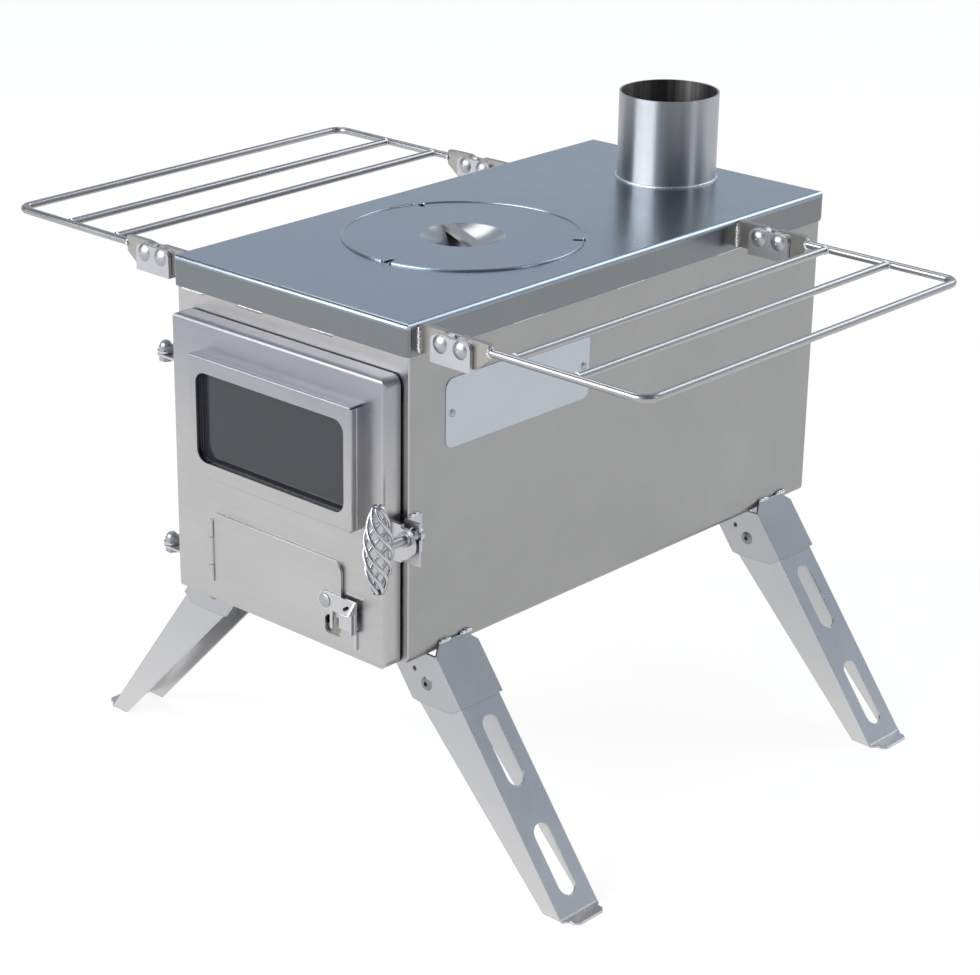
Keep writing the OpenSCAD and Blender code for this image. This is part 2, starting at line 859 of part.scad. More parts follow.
// A strap on the door face, folded out under the hanging plate and up in front of it. Its arm
// holds the plate, and its ledge stops the plate from below.
module ash_keeper() {
    front = strap_back - strap_t;
    color([0.76, 0.76, 0.76]) stove() {
        along_x(strap_x, strap_x + strap_w) polygon([
            [door_face, strap_bottom], [door_face, strap_ledge], [strap_back, strap_ledge],
            [strap_back, strap_top], [front, strap_top], [front, strap_ledge - strap_t],
            [door_face - strap_t, strap_ledge - strap_t], [door_face - strap_t, strap_bottom]
        ]);
        along_y(front, strap_back) translate([comb_x + arm_x, comb_z - arm_low])
            square([strap_x - comb_x - arm_x + strap_w / 2, arm_h]);
    }
}

// Legs, drawn with the pivot at the origin. In the outlines X is away from the stove and
// Y is up along the leg. The tilt opens them outwards.

module tilted(front_y) {
    translate([pivot_x, front_y, pivot_z]) rotate([0, -leg_angle, 0]) children();
}

// The wedge of an ear or flange, kept off the firebox floor
module below_floor(y0, y1) {
    intersection() {
        children();
        translate([-box_w, y0, -over]) cube([3 * box_w, y1 - y0, z_floor + over]);
    }
}

module bracket_ear_outline() {
    difference() {
        polygon([
            [-ear_n, -ear_low / 2], [-ear_n + ear_low / 2, -ear_low], [face_n / 2, -bracket_low],
            [face_n, -bracket_low], [face_n, pivot_drop + face_n], [-ear_n, pivot_drop + ear_n]
        ]);
        circle(leg_rivet_r + pin_gap);
        translate([-ear_hole_n, ear_hole_up]) circle(ear_hole_r);
    }
}

// The bracket's face plate leans on the wall with its upper edge and has two cut corners
module bracket_face(y0) {
    reach = (face_n * cos(leg_angle) - pivot_in) / sin(leg_angle);
    translate([face_n, y0, 0]) rotate([90, 0, 90]) linear_extrude(bracket_t) polygon([
        [0, -bracket_low], [bracket_w, -bracket_low], [bracket_w, reach - bracket_corner],
        [bracket_w - bracket_corner, reach], [bracket_corner, reach], [0, reach - bracket_corner]
    ]);
}

module leg_bracket(side, front_y) {
    on_side(side) {
        for (y = [front_y, front_y + bracket_w - bracket_t]) below_floor(y, y + bracket_t)
            tilted(0) along_y(y, y + bracket_t) bracket_ear_outline();
        tilted(0) bracket_face(front_y);
    }
}

module leg_flange_outline() {
    difference() {
        union() {
            circle(leg_top_r);
            polygon([
                [-leg_top_r, 0], [face_n - leg_side_gap - foot_n, -leg_run],
                [face_n - leg_side_gap, -leg_run], [face_n - leg_side_gap, 0]
            ]);
        }
        circle(leg_rivet_r + pin_gap);
    }
}

module leg_slots() {
    for (start = leg_slot_starts)
        translate([bracket_w / 2, -start - leg_slot_l / 2]) rotate(90) stadium(leg_slot_l, slot_w);
}

module leg_channel(side, front_y) {
    y0 = front_y + bracket_t + leg_side_gap;
    outer = face_n - leg_side_gap;
    lip_x = pivot_x + (outer + pivot_z * sin(leg_angle)) / cos(leg_angle);
    on_side(side) {
        intersection() {
            tilted(0) {
                for (y = [y0, y0 + leg_w - leg_t]) along_y(y, y + leg_t) leg_flange_outline();
                translate([outer - leg_t, front_y, 0]) rotate([90, 0, 90]) linear_extrude(leg_t)
                    difference() {
                        translate([y0 - front_y, -leg_run]) square([leg_w, leg_run]);
                        leg_slots();
                    }
            }
            translate([0, 0, leg_t / 2]) cube([2 * rack_reach, top_l, z_top]);
        }
        translate([lip_x, y0, 0]) linear_extrude(leg_t) foot_lip();
    }
}

// The leg's end is turned out flat, narrower than the leg and with cut corners
module foot_lip() {
    polygon([
        [-leg_t, lip_inset], [0, lip_inset], [lip_corner, lip_side], [lip_l - lip_corner, lip_side],
        [lip_l, lip_side + lip_corner], [lip_l, leg_w - lip_side - lip_corner],
        [lip_l - lip_corner, leg_w - lip_side], [lip_corner, leg_w - lip_side],
        [0, leg_w - lip_inset], [-leg_t, leg_w - lip_inset]
    ]);
}

leg_ys = [leg_inset, top_l - leg_inset - bracket_w];

module leg_bracket_fr() { color([0.72, 0.73, 0.75]) stove() leg_bracket(1, leg_ys[0]); }
module leg_bracket_fl() { color([0.72, 0.73, 0.75]) stove() leg_bracket(-1, leg_ys[0]); }
module leg_bracket_br() { color([0.72, 0.73, 0.75]) stove() leg_bracket(1, leg_ys[1]); }
module leg_bracket_bl() { color([0.72, 0.73, 0.75]) stove() leg_bracket(-1, leg_ys[1]); }
module leg_fr() { color([0.78, 0.79, 0.81]) stove() leg_channel(1, leg_ys[0]); }
module leg_fl() { color([0.78, 0.79, 0.81]) stove() leg_channel(-1, leg_ys[0]); }
module leg_br() { color([0.78, 0.79, 0.81]) stove() leg_channel(1, leg_ys[1]); }
module leg_bl() { color([0.78, 0.79, 0.81]) stove() leg_channel(-1, leg_ys[1]); }

// A hollow rivet through one ear and one flange, its closed head on the outside
module leg_rivet() {
    grip = bracket_t + leg_side_gap + leg_t + pin_gap;
    rotate([-90, 0, 0]) difference() {
        union() {
            cylinder(r = leg_rivet_r, h = grip);
            mirror([0, 0, 1]) dome(leg_rivet_head, leg_rivet_h);
            translate([0, 0, grip]) cylinder(r = leg_rivet_tail, h = leg_rivet_h / 2);
        }
        translate([0, 0, -leg_rivet_h - over])
            cylinder(r = leg_rivet_bore, h = grip + 2 * (leg_rivet_h + over));
    }
}

module leg_rivets() {
    color([0.6, 0.6, 0.61]) stove() for (side = [-1, 1], y = leg_ys) on_side(side) {
        translate([pivot_x, y, pivot_z]) leg_rivet();
        translate([pivot_x, y + bracket_w, pivot_z]) mirror([0, 1, 0]) leg_rivet();
    }
}

// Side racks. The hinge outlines are drawn with the first rivet at the origin.

module bar_flat(y) {
    translate([rivet_x, 0, rivet_z]) along_y(y - bar_t / 2, y + bar_t / 2) children();
}

// The end of a hinge bar: round above for the fold, cut to an arc below to pass the link's web
module bar_end() {
    circle(bar_top_r);
    intersection() {
        circle(bar_low_r);
        translate([-bar_low_r, -bar_low_r]) square([bar_low_r + bar_top_r, bar_low_r]);
    }
}

module rivet_hole() {
    circle(link_rivet_r + pin_gap);
}

module rack_bars(side) {
    on_side(side) for (y = rack_ys) bar_flat(y) difference() {
        union() {
            bar_end();
            translate([-link_out, -bar_low_r]) square([link_out, bar_low_r + bar_top_r]);
        }
        rivet_hole();
    }
}

module rack_ends(side) {
    on_side(side) for (y = rack_ys) bar_flat(y) translate([link_pitch, 0]) difference() {
        union() {
            mirror([1, 0]) bar_end();
            polygon([
                [0, -bar_low_r], [end_bar_l / 2, -bar_low_r], [end_bar_l, rod_rise - end_bar_tip / 2],
                [end_bar_l, rod_rise + end_bar_tip / 2], [end_bar_l / 2, bar_top_r], [0, bar_top_r]
            ]);
        }
        rivet_hole();
    }
}

module cheek_outline() {
    w = link_pitch + 2 * cheek_end;
    h = cheek_top + bar_low_r + web_gap + web_t;
    translate([link_pitch / 2, cheek_top - h]) round_topped(w, h, cheek_corner);
}

module link_clips(side) {
    inner = bar_t / 2 + run_gap;
    low = -bar_low_r - web_gap - web_t;
    on_side(side) for (y = rack_ys) translate([rivet_x, y, rivet_z]) {
        for (k = [0, 1]) mirror([0, k, 0]) along_y(inner, inner + cheek_t) difference() {
            cheek_outline();
            rivet_hole();
            translate([link_pitch, 0]) rivet_hole();
        }
        translate([-cheek_end, -inner, low]) cube([link_pitch + 2 * cheek_end, 2 * inner, web_t]);
    }
}

module link_rivets(side) {
    grip = bar_t + 2 * run_gap + 2 * cheek_t;
    on_side(side) for (y = rack_ys, x = [0, link_pitch])
        translate([rivet_x + x, y, rivet_z]) rotate([90, 0, 0]) {
            cylinder(r = link_rivet_r, h = grip, center = true);
            for (k = [0, 1]) mirror([0, 0, k]) translate([0, 0, grip / 2]) dome(link_head_r, link_head_h);
        }
}

module rack_rod(x0, x1, y0, y1) {
    translate([x0, y0, rivet_z + rod_rise]) rotate([0, 90, atan2(y1 - y0, x1 - x0)])
        cylinder(r = rod_r, h = norm([x1 - x0, y1 - y0]));
}

module rod_bend(x, y, turn) {
    translate([x, y, rivet_z + rod_rise]) rotate(turn) rotate_extrude(angle = 90)
        translate([rod_bend_r, 0]) circle(rod_r);
}

module rack_frame(side) {
    corner = rack_reach - rod_bend_r;
    on_side(side) union() {
        for (y = rack_ys) rack_rod(rod_x0, corner, y, y);
        rack_rod(rack_reach, rack_reach, rack_ys[0] + rod_bend_r, rack_ys[1] - rod_bend_r);
        rod_bend(corner, rack_ys[0] + rod_bend_r, 270);
        rod_bend(corner, rack_ys[1] - rod_bend_r, 0);
    }
}

// A rod between the front and back rods, its ends coped to fit round them
module cross_rod(side, x) {
    on_side(side) difference() {
        rack_rod(x, x, rack_ys[0], rack_ys[1]);
        for (y = rack_ys) rack_rod(x - 3 * rod_r, x + 3 * rod_r, y, y);
    }
}

module rack_bars_right() { color([0.75, 0.75, 0.75]) stove() rack_bars(1); }
module rack_bars_left() { color([0.75, 0.75, 0.75]) stove() rack_bars(-1); }
module link_clips_right() { color([0.8, 0.8, 0.82]) stove() link_clips(1); }
module link_clips_left() { color([0.8, 0.8, 0.82]) stove() link_clips(-1); }
module link_rivets_right() { color([0.7, 0.7, 0.72]) stove() link_rivets(1); }
module link_rivets_left() { color([0.7, 0.7, 0.72]) stove() link_rivets(-1); }
module rack_ends_right() { color([0.76, 0.76, 0.76]) stove() rack_ends(1); }
module rack_ends_left() { color([0.76, 0.76, 0.76]) stove() rack_ends(-1); }
module rack_frame_right() { color([0.8, 0.8, 0.8]) stove() rack_frame(1); }
module rack_frame_left() { color([0.8, 0.8, 0.8]) stove() rack_frame(-1); }
module rack_middle_right() { color([0.8, 0.8, 0.8]) stove() cross_rod(1, middle_rod_x); }
module rack_middle_left() { color([0.8, 0.8, 0.8]) stove() cross_rod(-1, middle_rod_x); }
module rack_inner_right() { color([0.8, 0.8, 0.8]) stove() cross_rod(1, inner_rod_x); }
module rack_inner_left() { color([0.8, 0.8, 0.8]) stove() cross_rod(-1, inner_rod_x); }

firebox_wrap();
back_panel();
front_frame();
top_plate();
hotplate_seat();
flue_collar();
grate_rails();
fire_grate();
hinge_ears_fixed();
hinge_bolts();
hinge_acorn_nuts();
latch_keeper();
hotplate_cover();
hotplate_bar();
door_panel();
window_base();
window_cap();
window_glass();
hinge_ears_door();
latch_lug();
latch_spindle();
basket_wires();
basket_caps();
latch_cam();
ash_barrels_fixed();
ash_pin();
ash_keeper();
ash_panel();
ash_barrel_moving();
ash_latch_rivet();
ash_latch_comb();
leg_bracket_fr();
leg_bracket_fl();
leg_bracket_br();
leg_bracket_bl();
leg_fr();
leg_fl();
leg_br();
leg_bl();
leg_rivets();
rack_bars_right();
rack_bars_left();
link_clips_right();
link_clips_left();
link_rivets_right();
link_rivets_left();
rack_ends_right();
rack_ends_left();
rack_frame_right();
rack_frame_left();
rack_middle_right();
rack_middle_left();
rack_inner_right();
rack_inner_left();
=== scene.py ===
"""Looks for a tent wood stove: steel finishes, the handle's smooth wires, the rolled rim of the
hotplate's cover, weld beads, a bare rating plate and a plain studio.

The packed model is the fixed frame. Every new piece is a surface worked out with numpy, in metres,
in the frame's own coordinates: X across the stove, Y from the door to the back, Z up.
"""

import json
import math

import bpy
import numpy as np
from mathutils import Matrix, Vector


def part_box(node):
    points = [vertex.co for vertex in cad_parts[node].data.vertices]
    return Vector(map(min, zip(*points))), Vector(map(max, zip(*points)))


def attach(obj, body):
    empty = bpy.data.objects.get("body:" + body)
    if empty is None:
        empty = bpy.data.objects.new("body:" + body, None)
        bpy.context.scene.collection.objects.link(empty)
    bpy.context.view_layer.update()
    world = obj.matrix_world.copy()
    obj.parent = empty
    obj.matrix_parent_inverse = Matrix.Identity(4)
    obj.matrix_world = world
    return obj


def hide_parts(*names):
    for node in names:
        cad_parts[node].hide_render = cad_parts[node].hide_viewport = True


bl_info = {
    "name": "Tent wood stove",
    "version": (1, 0, 0),
    "blender": (4, 5, 0),
    "location": "View3D > Sidebar > Tent stove",
    "description": "Finishes, wires, rim, welds, rating plate and studio for a steel tent stove",
    "category": "Object",
}

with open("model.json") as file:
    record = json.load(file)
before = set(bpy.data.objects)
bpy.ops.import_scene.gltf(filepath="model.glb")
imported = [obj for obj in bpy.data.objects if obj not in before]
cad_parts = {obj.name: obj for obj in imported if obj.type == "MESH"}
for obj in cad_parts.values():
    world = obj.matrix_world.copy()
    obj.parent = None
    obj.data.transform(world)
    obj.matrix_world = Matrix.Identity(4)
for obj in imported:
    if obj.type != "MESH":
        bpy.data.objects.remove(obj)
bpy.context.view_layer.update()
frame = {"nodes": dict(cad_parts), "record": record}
RECORD = frame["record"]

MM = 0.001
TURN = 2 * math.pi
SIDES = ((1, "right"), (-1, "left"))
BRACKETS = ("leg_bracket_fr", "leg_bracket_fl", "leg_bracket_br", "leg_bracket_bl")


def corners(node):
    """Lowest and highest corner of a CAD node, as two numpy rows."""
    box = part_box(node)
    return np.array(box[0], float), np.array(box[1], float)


PLATE_LOW, PLATE_HIGH = corners("top_plate")
WRAP_LOW, WRAP_HIGH = corners("firebox_wrap")
FRONT_Y = PLATE_LOW[1]


# Surfaces

STEEP = 0.9           # a path whose tangent rises more than this takes Y for its up
TIP_RADIUS = 0.02     # an open tube's last ring, as a share of its end's radius
TIP_REACH = 0.01      # and how far that ring stands out, as a share of the path's last step
DOME_GAP = 0.02       # angle left open at the top of a rivet's head

BEAD_SIDES = 10
BEAD_RADIUS = 0.82    # a bead's plain radius, as a share of the given one,
BEAD_RIPPLE = 0.2     # what its ripples add to it,
BEAD_UNEVEN = 0.1     # what its unevenness adds or takes,
BEAD_WANDER = 0.12    # and how far that moves its middle up or down
RIPPLE_POWER = 0.6    # under 1: round crests with sharp creases between them
UNEVEN_PLACES = 9     # places along a bead at which its unevenness is drawn
TAPER_REACH = 1.6     # a bead tapers over this many radii at an open end
TAPER_LEAST = 0.02


def surface(name, points, closed_u=False, closed_v=False, smooth=True):
    """Mesh of a grid of points, rows by columns by 3, joined round either way where asked."""
    rows, columns = points.shape[:2]
    index = np.arange(rows * columns).reshape(rows, columns)
    across = np.roll(index, -1, axis=1) if closed_v else index[:, 1:]
    here = index if closed_v else index[:, :-1]
    down = np.roll(here, -1, axis=0) if closed_u else here[1:]
    down_across = np.roll(across, -1, axis=0) if closed_u else across[1:]
    if not closed_u:
        here, across = here[:-1], across[:-1]
    quads = np.stack([here, across, down_across, down], axis=-1).reshape(-1, 4)
    mesh = bpy.data.meshes.new(name)
    mesh.from_pydata(points.reshape(-1, 3).tolist(), [], quads.tolist())
    if smooth:
        mesh.shade_smooth()
    else:
        mesh.shade_flat()
    piece = bpy.data.objects.new(name, mesh)
    bpy.context.scene.collection.objects.link(piece)
    return piece


def joined(name, pieces):
    """One object from one or several, under the given name."""
    if len(pieces) > 1:
        with bpy.context.temp_override(active_object=pieces[0], selected_editable_objects=pieces):
            bpy.ops.object.join()
    pieces[0].name = name
    pieces[0].data.name = name
    return pieces[0]


def whole_turn(points):
    """Angles of a whole turn, without its end."""
    return np.linspace(0, TURN, points + 1)[:-1]


def line(points, x, y, z):
    """Evenly spaced points. Each of x, y and z is one number, or a pair: its start and its end."""
    start, end = np.array([np.broadcast_to(value, 2) for value in (x, y, z)], float).T
    share = np.linspace(0, 1, points)[:, None]
    return start * (1 - share) + end * share


def arc(centre, radius, axis, angles):
    """Points of a circle round an axis, 0 to 2 for X to Z, at the given angles."""
    first, second = ((1, 2), (0, 2), (0, 1))[axis]
    points = np.tile(np.asarray(centre, float), (len(angles), 1))
    points[:, first] += radius * np.cos(angles)
    points[:, second] += radius * np.sin(angles)
    return points


def frames_along(path, closed=False):
    """Unit normal and side at each point of a path. The side is level, or at right angles to Y
    where the path is steep, and the normal is at right angles to the side and the path."""
    if closed:
        ahead, behind = np.roll(path, -1, axis=0), np.roll(path, 1, axis=0)
    else:
        ahead = np.vstack([path[1:], 2 * path[-1:] - path[-2:-1]])
        behind = np.vstack([2 * path[:1] - path[1:2], path[:-1]])
    tangent = ahead - behind
    tangent /= np.linalg.norm(tangent, axis=1, keepdims=True)
    up = np.where(np.abs(tangent[:, 2:]) > STEEP, [[0.0, 1.0, 0.0]], [[0.0, 0.0, 1.0]])
    side = np.cross(tangent, up)
    side /= np.linalg.norm(side, axis=1, keepdims=True)
    return np.cross(side, tangent), side


def tube(name, path, radius, sides=12, closed=False):
    """A round tube: at each path point a ring of that radius, in the plane across the path.
    The radius may change along the path. An open tube ends in a point at each end."""
    path = np.asarray(path, float)
    radius = np.broadcast_to(np.asarray(radius, float), len(path)).copy()
    if not closed:
        path = np.vstack([path[:1], path, path[-1:]])
        radius = np.concatenate([[radius[0] * TIP_RADIUS], radius, [radius[-1] * TIP_RADIUS]])
        path[0] += (path[1] - path[2]) * TIP_REACH
        path[-1] += (path[-2] - path[-3]) * TIP_REACH
    normal, side = frames_along(path, closed)
    angle = (np.arange(sides) * TURN / sides)[None, :, None]
    ring = np.cos(angle) * side[:, None] + np.sin(angle) * normal[:, None]
    points = path[:, None] + radius[:, None, None] * ring
    return surface(name, points, closed_u=closed, closed_v=True)


def bead(name, path, radius, pitch, seed, closed=False):
    """A weld bead: a tube whose radius swells and sinks in short overlapping ripples of the given
    pitch along the path, with a little unevenness, and tapers at open ends."""
    path = np.asarray(path, float)
    step = np.linalg.norm(np.diff(path, axis=0), axis=1)
    length = np.concatenate([[0], np.cumsum(step)])
    rng = np.random.default_rng(seed)
    ripple = np.abs(np.sin(math.pi * length / pitch)) ** RIPPLE_POWER
    places = np.linspace(0, length[-1], UNEVEN_PLACES)
    uneven = np.interp(length, places, rng.uniform(-1, 1, UNEVEN_PLACES))
    if closed:
        uneven *= np.sin(math.pi * length / length[-1]) ** 2
        taper = 1.0
    else:
        edge = np.minimum(length, length[-1] - length) / (TAPER_REACH * radius)
        taper = np.sqrt(np.clip(edge, TAPER_LEAST, 1))
    size = radius * taper * (BEAD_RADIUS + BEAD_RIPPLE * ripple + BEAD_UNEVEN * uneven)
    wander = np.zeros_like(path)
    wander[:, 2] = BEAD_WANDER * radius * uneven
    return tube(name, path + wander, size, BEAD_SIDES, closed)


def dome(name, centre, outward, radius, height, rings=8, sides=24):
    """A rivet's head: radius r cos(a) at height h sin(a) for a from 0 to nearly a quarter turn."""
    turn = np.array(Vector(outward).normalized().to_track_quat("Z", "Y").to_matrix())
    a = np.linspace(0, math.pi / 2 - DOME_GAP, rings)[:, None]
    t = (np.arange(sides) * TURN / sides)[None, :]
    shape = np.stack([radius * np.cos(a) * np.cos(t), radius * np.cos(a) * np.sin(t),
                      height * np.sin(a) + 0 * t], axis=-1)
    return surface(name, shape @ turn.T + np.asarray(centre, float), closed_v=True)


# Shader nodes

# The lowest and the highest value that most of a noise lies between
MOST = (0.3, 0.7)

# How much X, Y and Z count in a distance: on a face across Y, and round an upright axis
ON_FACE = (1, 0, 1)
ROUND_Z = (1, 1, 0)


def put(tree, kind, inputs=None, **settings):
    """A new node with its settings, and its sockets fed by other sockets or by plain values."""
    made = tree.nodes.new(kind)
    for key, value in settings.items():
        setattr(made, key, value)
    for key, value in (inputs or {}).items():
        if isinstance(value, bpy.types.NodeSocket):
            tree.links.new(value, made.inputs[key])
        else:
            made.inputs[key].default_value = value
    return made


def emptied(owner):
    """The node tree of a new material or world, with nothing in it."""
    owner.use_nodes = True
    owner.node_tree.nodes.clear()
    return owner.node_tree


def coated(name, inputs):
    """A material whose one shader has its inputs from a function of the node tree."""
    material = bpy.data.materials.new(name)
    tree = emptied(material)
    shader = put(tree, "ShaderNodeBsdfPrincipled", inputs(tree))
    put(tree, "ShaderNodeOutputMaterial", {"Surface": shader.outputs["BSDF"]})
    return material


def noise(tree, scale, detail=2.0, rough=0.5):
    """Noise on object coordinates. The scale is one number, or one for each axis."""
    place = put(tree, "ShaderNodeTexCoord")
    stretch = put(tree, "ShaderNodeMapping", {
        "Vector": place.outputs["Object"],
        "Scale": scale if isinstance(scale, tuple) else (scale, scale, scale)})
    made = put(tree, "ShaderNodeTexNoise", {
        "Vector": stretch.outputs["Vector"], "Scale": 1.0, "Detail": detail, "Roughness": rough})
    return made.outputs["Fac"]


def spread(tree, value, target, source=MOST, **settings):
    """A number socket mapped from the source's two numbers to the target's, and held there."""
    ends = dict(zip(("From Min", "From Max", "To Min", "To Max"), (*source, *target)))
    return put(tree, "ShaderNodeMapRange", {"Value": value, **ends}, **settings).outputs["Result"]


def reckoned(tree, operation, a, b):
    """A sum, product or other number from two, each a socket or a plain number."""
    return put(tree, "ShaderNodeMath", {0: a, 1: b}, operation=operation).outputs["Value"]


def blended(tree, share, a, b, **settings):
    """Colour a where the share is 0 and b where it is 1. Either is a socket or a plain colour."""
    a, b = (c if isinstance(c, bpy.types.NodeSocket) else (*c, 1) for c in (a, b))
    inputs = {"Factor": share, "A": a, "B": b}
    return put(tree, "ShaderNodeMix", inputs, data_type="RGBA", **settings).outputs["Result"]


def tinted(tree, value, colour, dark, light):
    """The colour, varied between two shares of itself by a number socket."""
    darker = [c * dark for c in colour[:3]]
    lighter = [min(1, c * light) for c in colour[:3]]
    return blended(tree, value, darker, lighter)


def within(tree, centre, axes, inner, outer):
    """1 nearer to the centre than the inner distance, 0 beyond the outer one. Each of the three
    axes counts by the given factor."""
    def reckon(operation, *inputs):
        made = put(tree, "ShaderNodeVectorMath", dict(enumerate(inputs)), operation=operation)
        return made.outputs
    place = put(tree, "ShaderNodeTexCoord").outputs["Object"]
    away = reckon("SUBTRACT", place, centre)["Vector"]
    flat = reckon("MULTIPLY", away, axes)["Vector"]
    return spread(tree, reckon("LENGTH", flat)["Value"], (1, 0), (inner, outer))


def height_painted_light(tree, colour, low, high, low_painted_light, high_painted_light):
    """The colour socket, multiplied by a colour at each of two heights: painted light and shade."""
    place = put(tree, "ShaderNodeTexCoord")
    parts = put(tree, "ShaderNodeSeparateXYZ", {"Vector": place.outputs["Object"]})
    up = spread(tree, parts.outputs["Z"], (0, 1), (low, high), interpolation_type="SMOOTHSTEP")
    return blended(tree, 1.0, colour, blended(tree, up, low_painted_light, high_painted_light), blend_type="MULTIPLY")


# Materials

# Noise scales for X, Y and Z, small along the brushing
ALONG_X = (9, 420, 420)
ALONG_Y = (420, 7, 420)
WALL_GRAIN = (500, 9, 500)
LEG_GRAIN = (40, 40, 6)
EVEN_GRAIN = (40, 40, 40)
GRATE_GRAIN = (60, 60, 60)

# Detail and roughness of a noise for scratches, for cloudy marks and for smudges
SCRATCHY = (3.0, 0.6)
CLOUDY = (4.0, 0.55)
SMUDGY = (3.0, 0.7)


def brushed_sheet(name, colour, roughness, grain, patch=0.06, painted_light_and_shade=None, grit=1.0, edge=0.0,
                  shade_spot=None):
    """Brushed stainless sheet: fine scratches along one way, cloudy handling marks and small
    changes of brightness. grain is the noise scale for X, Y and Z. patch is how much the
    brightness changes. painted_light_and_shade is two heights and the two colours that the sheet
    is multiplied by there: painted light and shade that change with height. grit is how strongly
    the scratches show. edge is the radius that sharp folds catch the light with. shade_spot is a
    place on an upright face across Y, its inner and outer radius and the colour of a round patch
    of painted shade there."""
    def inputs(tree):
        scratches = noise(tree, grain, *SCRATCHY)
        clouds = noise(tree, 9, *CLOUDY)
        smudges = noise(tree, 38, *SMUDGY)
        worn = 0.05 * grit
        rough = reckoned(tree, "ADD", spread(tree, scratches, (roughness - worn, roughness + worn)),
                         spread(tree, smudges, (-0.03, 0.04), (0.35, 0.75)))
        shade = reckoned(tree, "ADD", spread(tree, clouds, (0.0, 0.7)),
                         spread(tree, scratches, (-0.15 * grit, 0.3 * grit)))
        base = tinted(tree, shade, colour, 1 - patch, 1 + patch)
        # Painted light and shade: the colour multiplied by height
        if painted_light_and_shade:
            base = height_painted_light(tree, base, *painted_light_and_shade)
        # Painted shade: a darker round patch on the face
        if shade_spot:
            place, inner, outer, dark = shade_spot
            base = blended(tree, within(tree, place, ON_FACE, inner, outer), base, dark)
        made = {"Base Color": base, "Roughness": rough, "Metallic": 1.0}
        if edge:
            fold = put(tree, "ShaderNodeBevel", {"Radius": edge}, samples=4)
            made["Normal"] = fold.outputs["Normal"]
        return made
    return coated(name, inputs)


def pressed_cover(name, colour, roughness, dish, dish_sheen_colour, dish_roughness):
    """The hotplate's cover: brushed like the top plate, with its dish smoother and painted
    brighter, a painted sheen. dish is the radii between which the one changes to the other."""
    def inputs(tree):
        low, high = corners("hotplate_bar")
        scratches = noise(tree, ALONG_Y, *SCRATCHY)
        clouds = noise(tree, 14, *CLOUDY)
        inside = within(tree, (low + high) / 2, ROUND_Z, *dish)
        shade = reckoned(tree, "ADD", spread(tree, clouds, (0.0, 0.7)),
                         spread(tree, scratches, (-0.04, 0.08)))
        plain = tinted(tree, shade, colour, 0.97, 1.03)
        # Painted sheen: the dish's own brighter colour
        painted_sheen = tinted(tree, clouds, dish_sheen_colour, 0.95, 1.05)
        rough = reckoned(tree, "ADD", spread(tree, inside, (roughness, dish_roughness), (0, 1)),
                         spread(tree, scratches, (-0.01, 0.01)))
        base = blended(tree, inside, plain, painted_sheen)
        return {"Base Color": base, "Roughness": rough, "Metallic": 1.0}
    return coated(name, inputs)


def turned_tube(name, colour, roughness, stretch, soot, wall):
    """Tube brushed round and round: its highlights spread along the tube's upright axis. Its inside
    is streaked with soot from the wall's thickness inwards."""
    def inputs(tree):
        rings = noise(tree, (5, 5, 1600), *SCRATCHY)
        clouds = noise(tree, (26, 26, 8), *SCRATCHY)
        streaks = noise(tree, (420, 420, 4), *SCRATCHY)
        low, high = corners("flue_collar")
        bore = (high[0] - low[0]) / 2 - wall
        inside = within(tree, (low + high) / 2, ROUND_Z, bore - 0.2 * MM, bore)
        turned = spread(tree, rings, (roughness - 0.04, roughness + 0.04))
        marks = spread(tree, clouds, (-0.02, 0.04), (0.35, 0.7))
        sooty = spread(tree, inside, (0, 0.3), (0, 1))
        rough = reckoned(tree, "ADD", reckoned(tree, "ADD", turned, marks), sooty)
        shade = reckoned(tree, "ADD", spread(tree, clouds, (0.0, 0.6)),
                         spread(tree, rings, (-0.2, 0.4)))
        base = blended(tree, inside, tinted(tree, shade, colour, 0.9, 1.1),
                       tinted(tree, spread(tree, streaks, (0.0, 1.0)), soot, 0.6, 1.5))
        quarter = 0.25
        return {"Base Color": base, "Roughness": rough, "Metallic": 1.0, "Anisotropic": stretch,
                "Anisotropic Rotation": quarter}
    return coated(name, inputs)


def polished_metal(name, colour, roughness, marks=0.05):
    """Polished stainless: near-mirror with faint wipe marks."""
    def inputs(tree):
        wipes = noise(tree, 24)
        return {"Base Color": tinted(tree, wipes, colour, 0.93, 1.04),
                "Roughness": spread(tree, wipes, (roughness - marks / 2, roughness + marks)),
                "Metallic": 1.0}
    return coated(name, inputs)


def weld_metal(name, colour, roughness):
    """Weld metal: bright and lumpy, with a faint straw tint in places."""
    def inputs(tree):
        lumps = noise(tree, 700, *SMUDGY)
        straw = [c * share for c, share in zip(colour, (0.84, 0.78, 0.70))]
        places = spread(tree, noise(tree, 160), (0.0, 0.6), (0.55, 0.8))
        bump = put(tree, "ShaderNodeBump", {"Strength": 0.5, "Distance": 0.2 * MM, "Height": lumps})
        return {"Base Color": blended(tree, places, colour, straw),
                "Roughness": spread(tree, lumps, (roughness - 0.08, roughness + 0.12)),
                "Normal": bump.outputs["Normal"], "Metallic": 1.0}
    return coated(name, inputs)


def fire_glass(name, colour):
    """Heat-resistant glass in front of a dark firebox: mostly clear, with a faint even haze."""
    def inputs(tree):
        haze = noise(tree, 30, detail=4.0)
        return {"Base Color": tinted(tree, haze, colour, 0.9, 1.1),
                "Roughness": spread(tree, haze, (0.03, 0.09)),
                "IOR": 1.47, "Transmission Weight": 0.35}
    return coated(name, inputs)


def plate_metal(name, colour, roughness):
    """The rating plate's sheet: pale anodised metal with a fine even tooth."""
    def inputs(tree):
        return {"Base Color": tinted(tree, noise(tree, 22, detail=3.0), colour, 0.95, 1.03),
                "Roughness": spread(tree, noise(tree, 900), (roughness - 0.04, roughness + 0.04)),
                "Metallic": 0.75}
    return coated(name, inputs)


# Settings

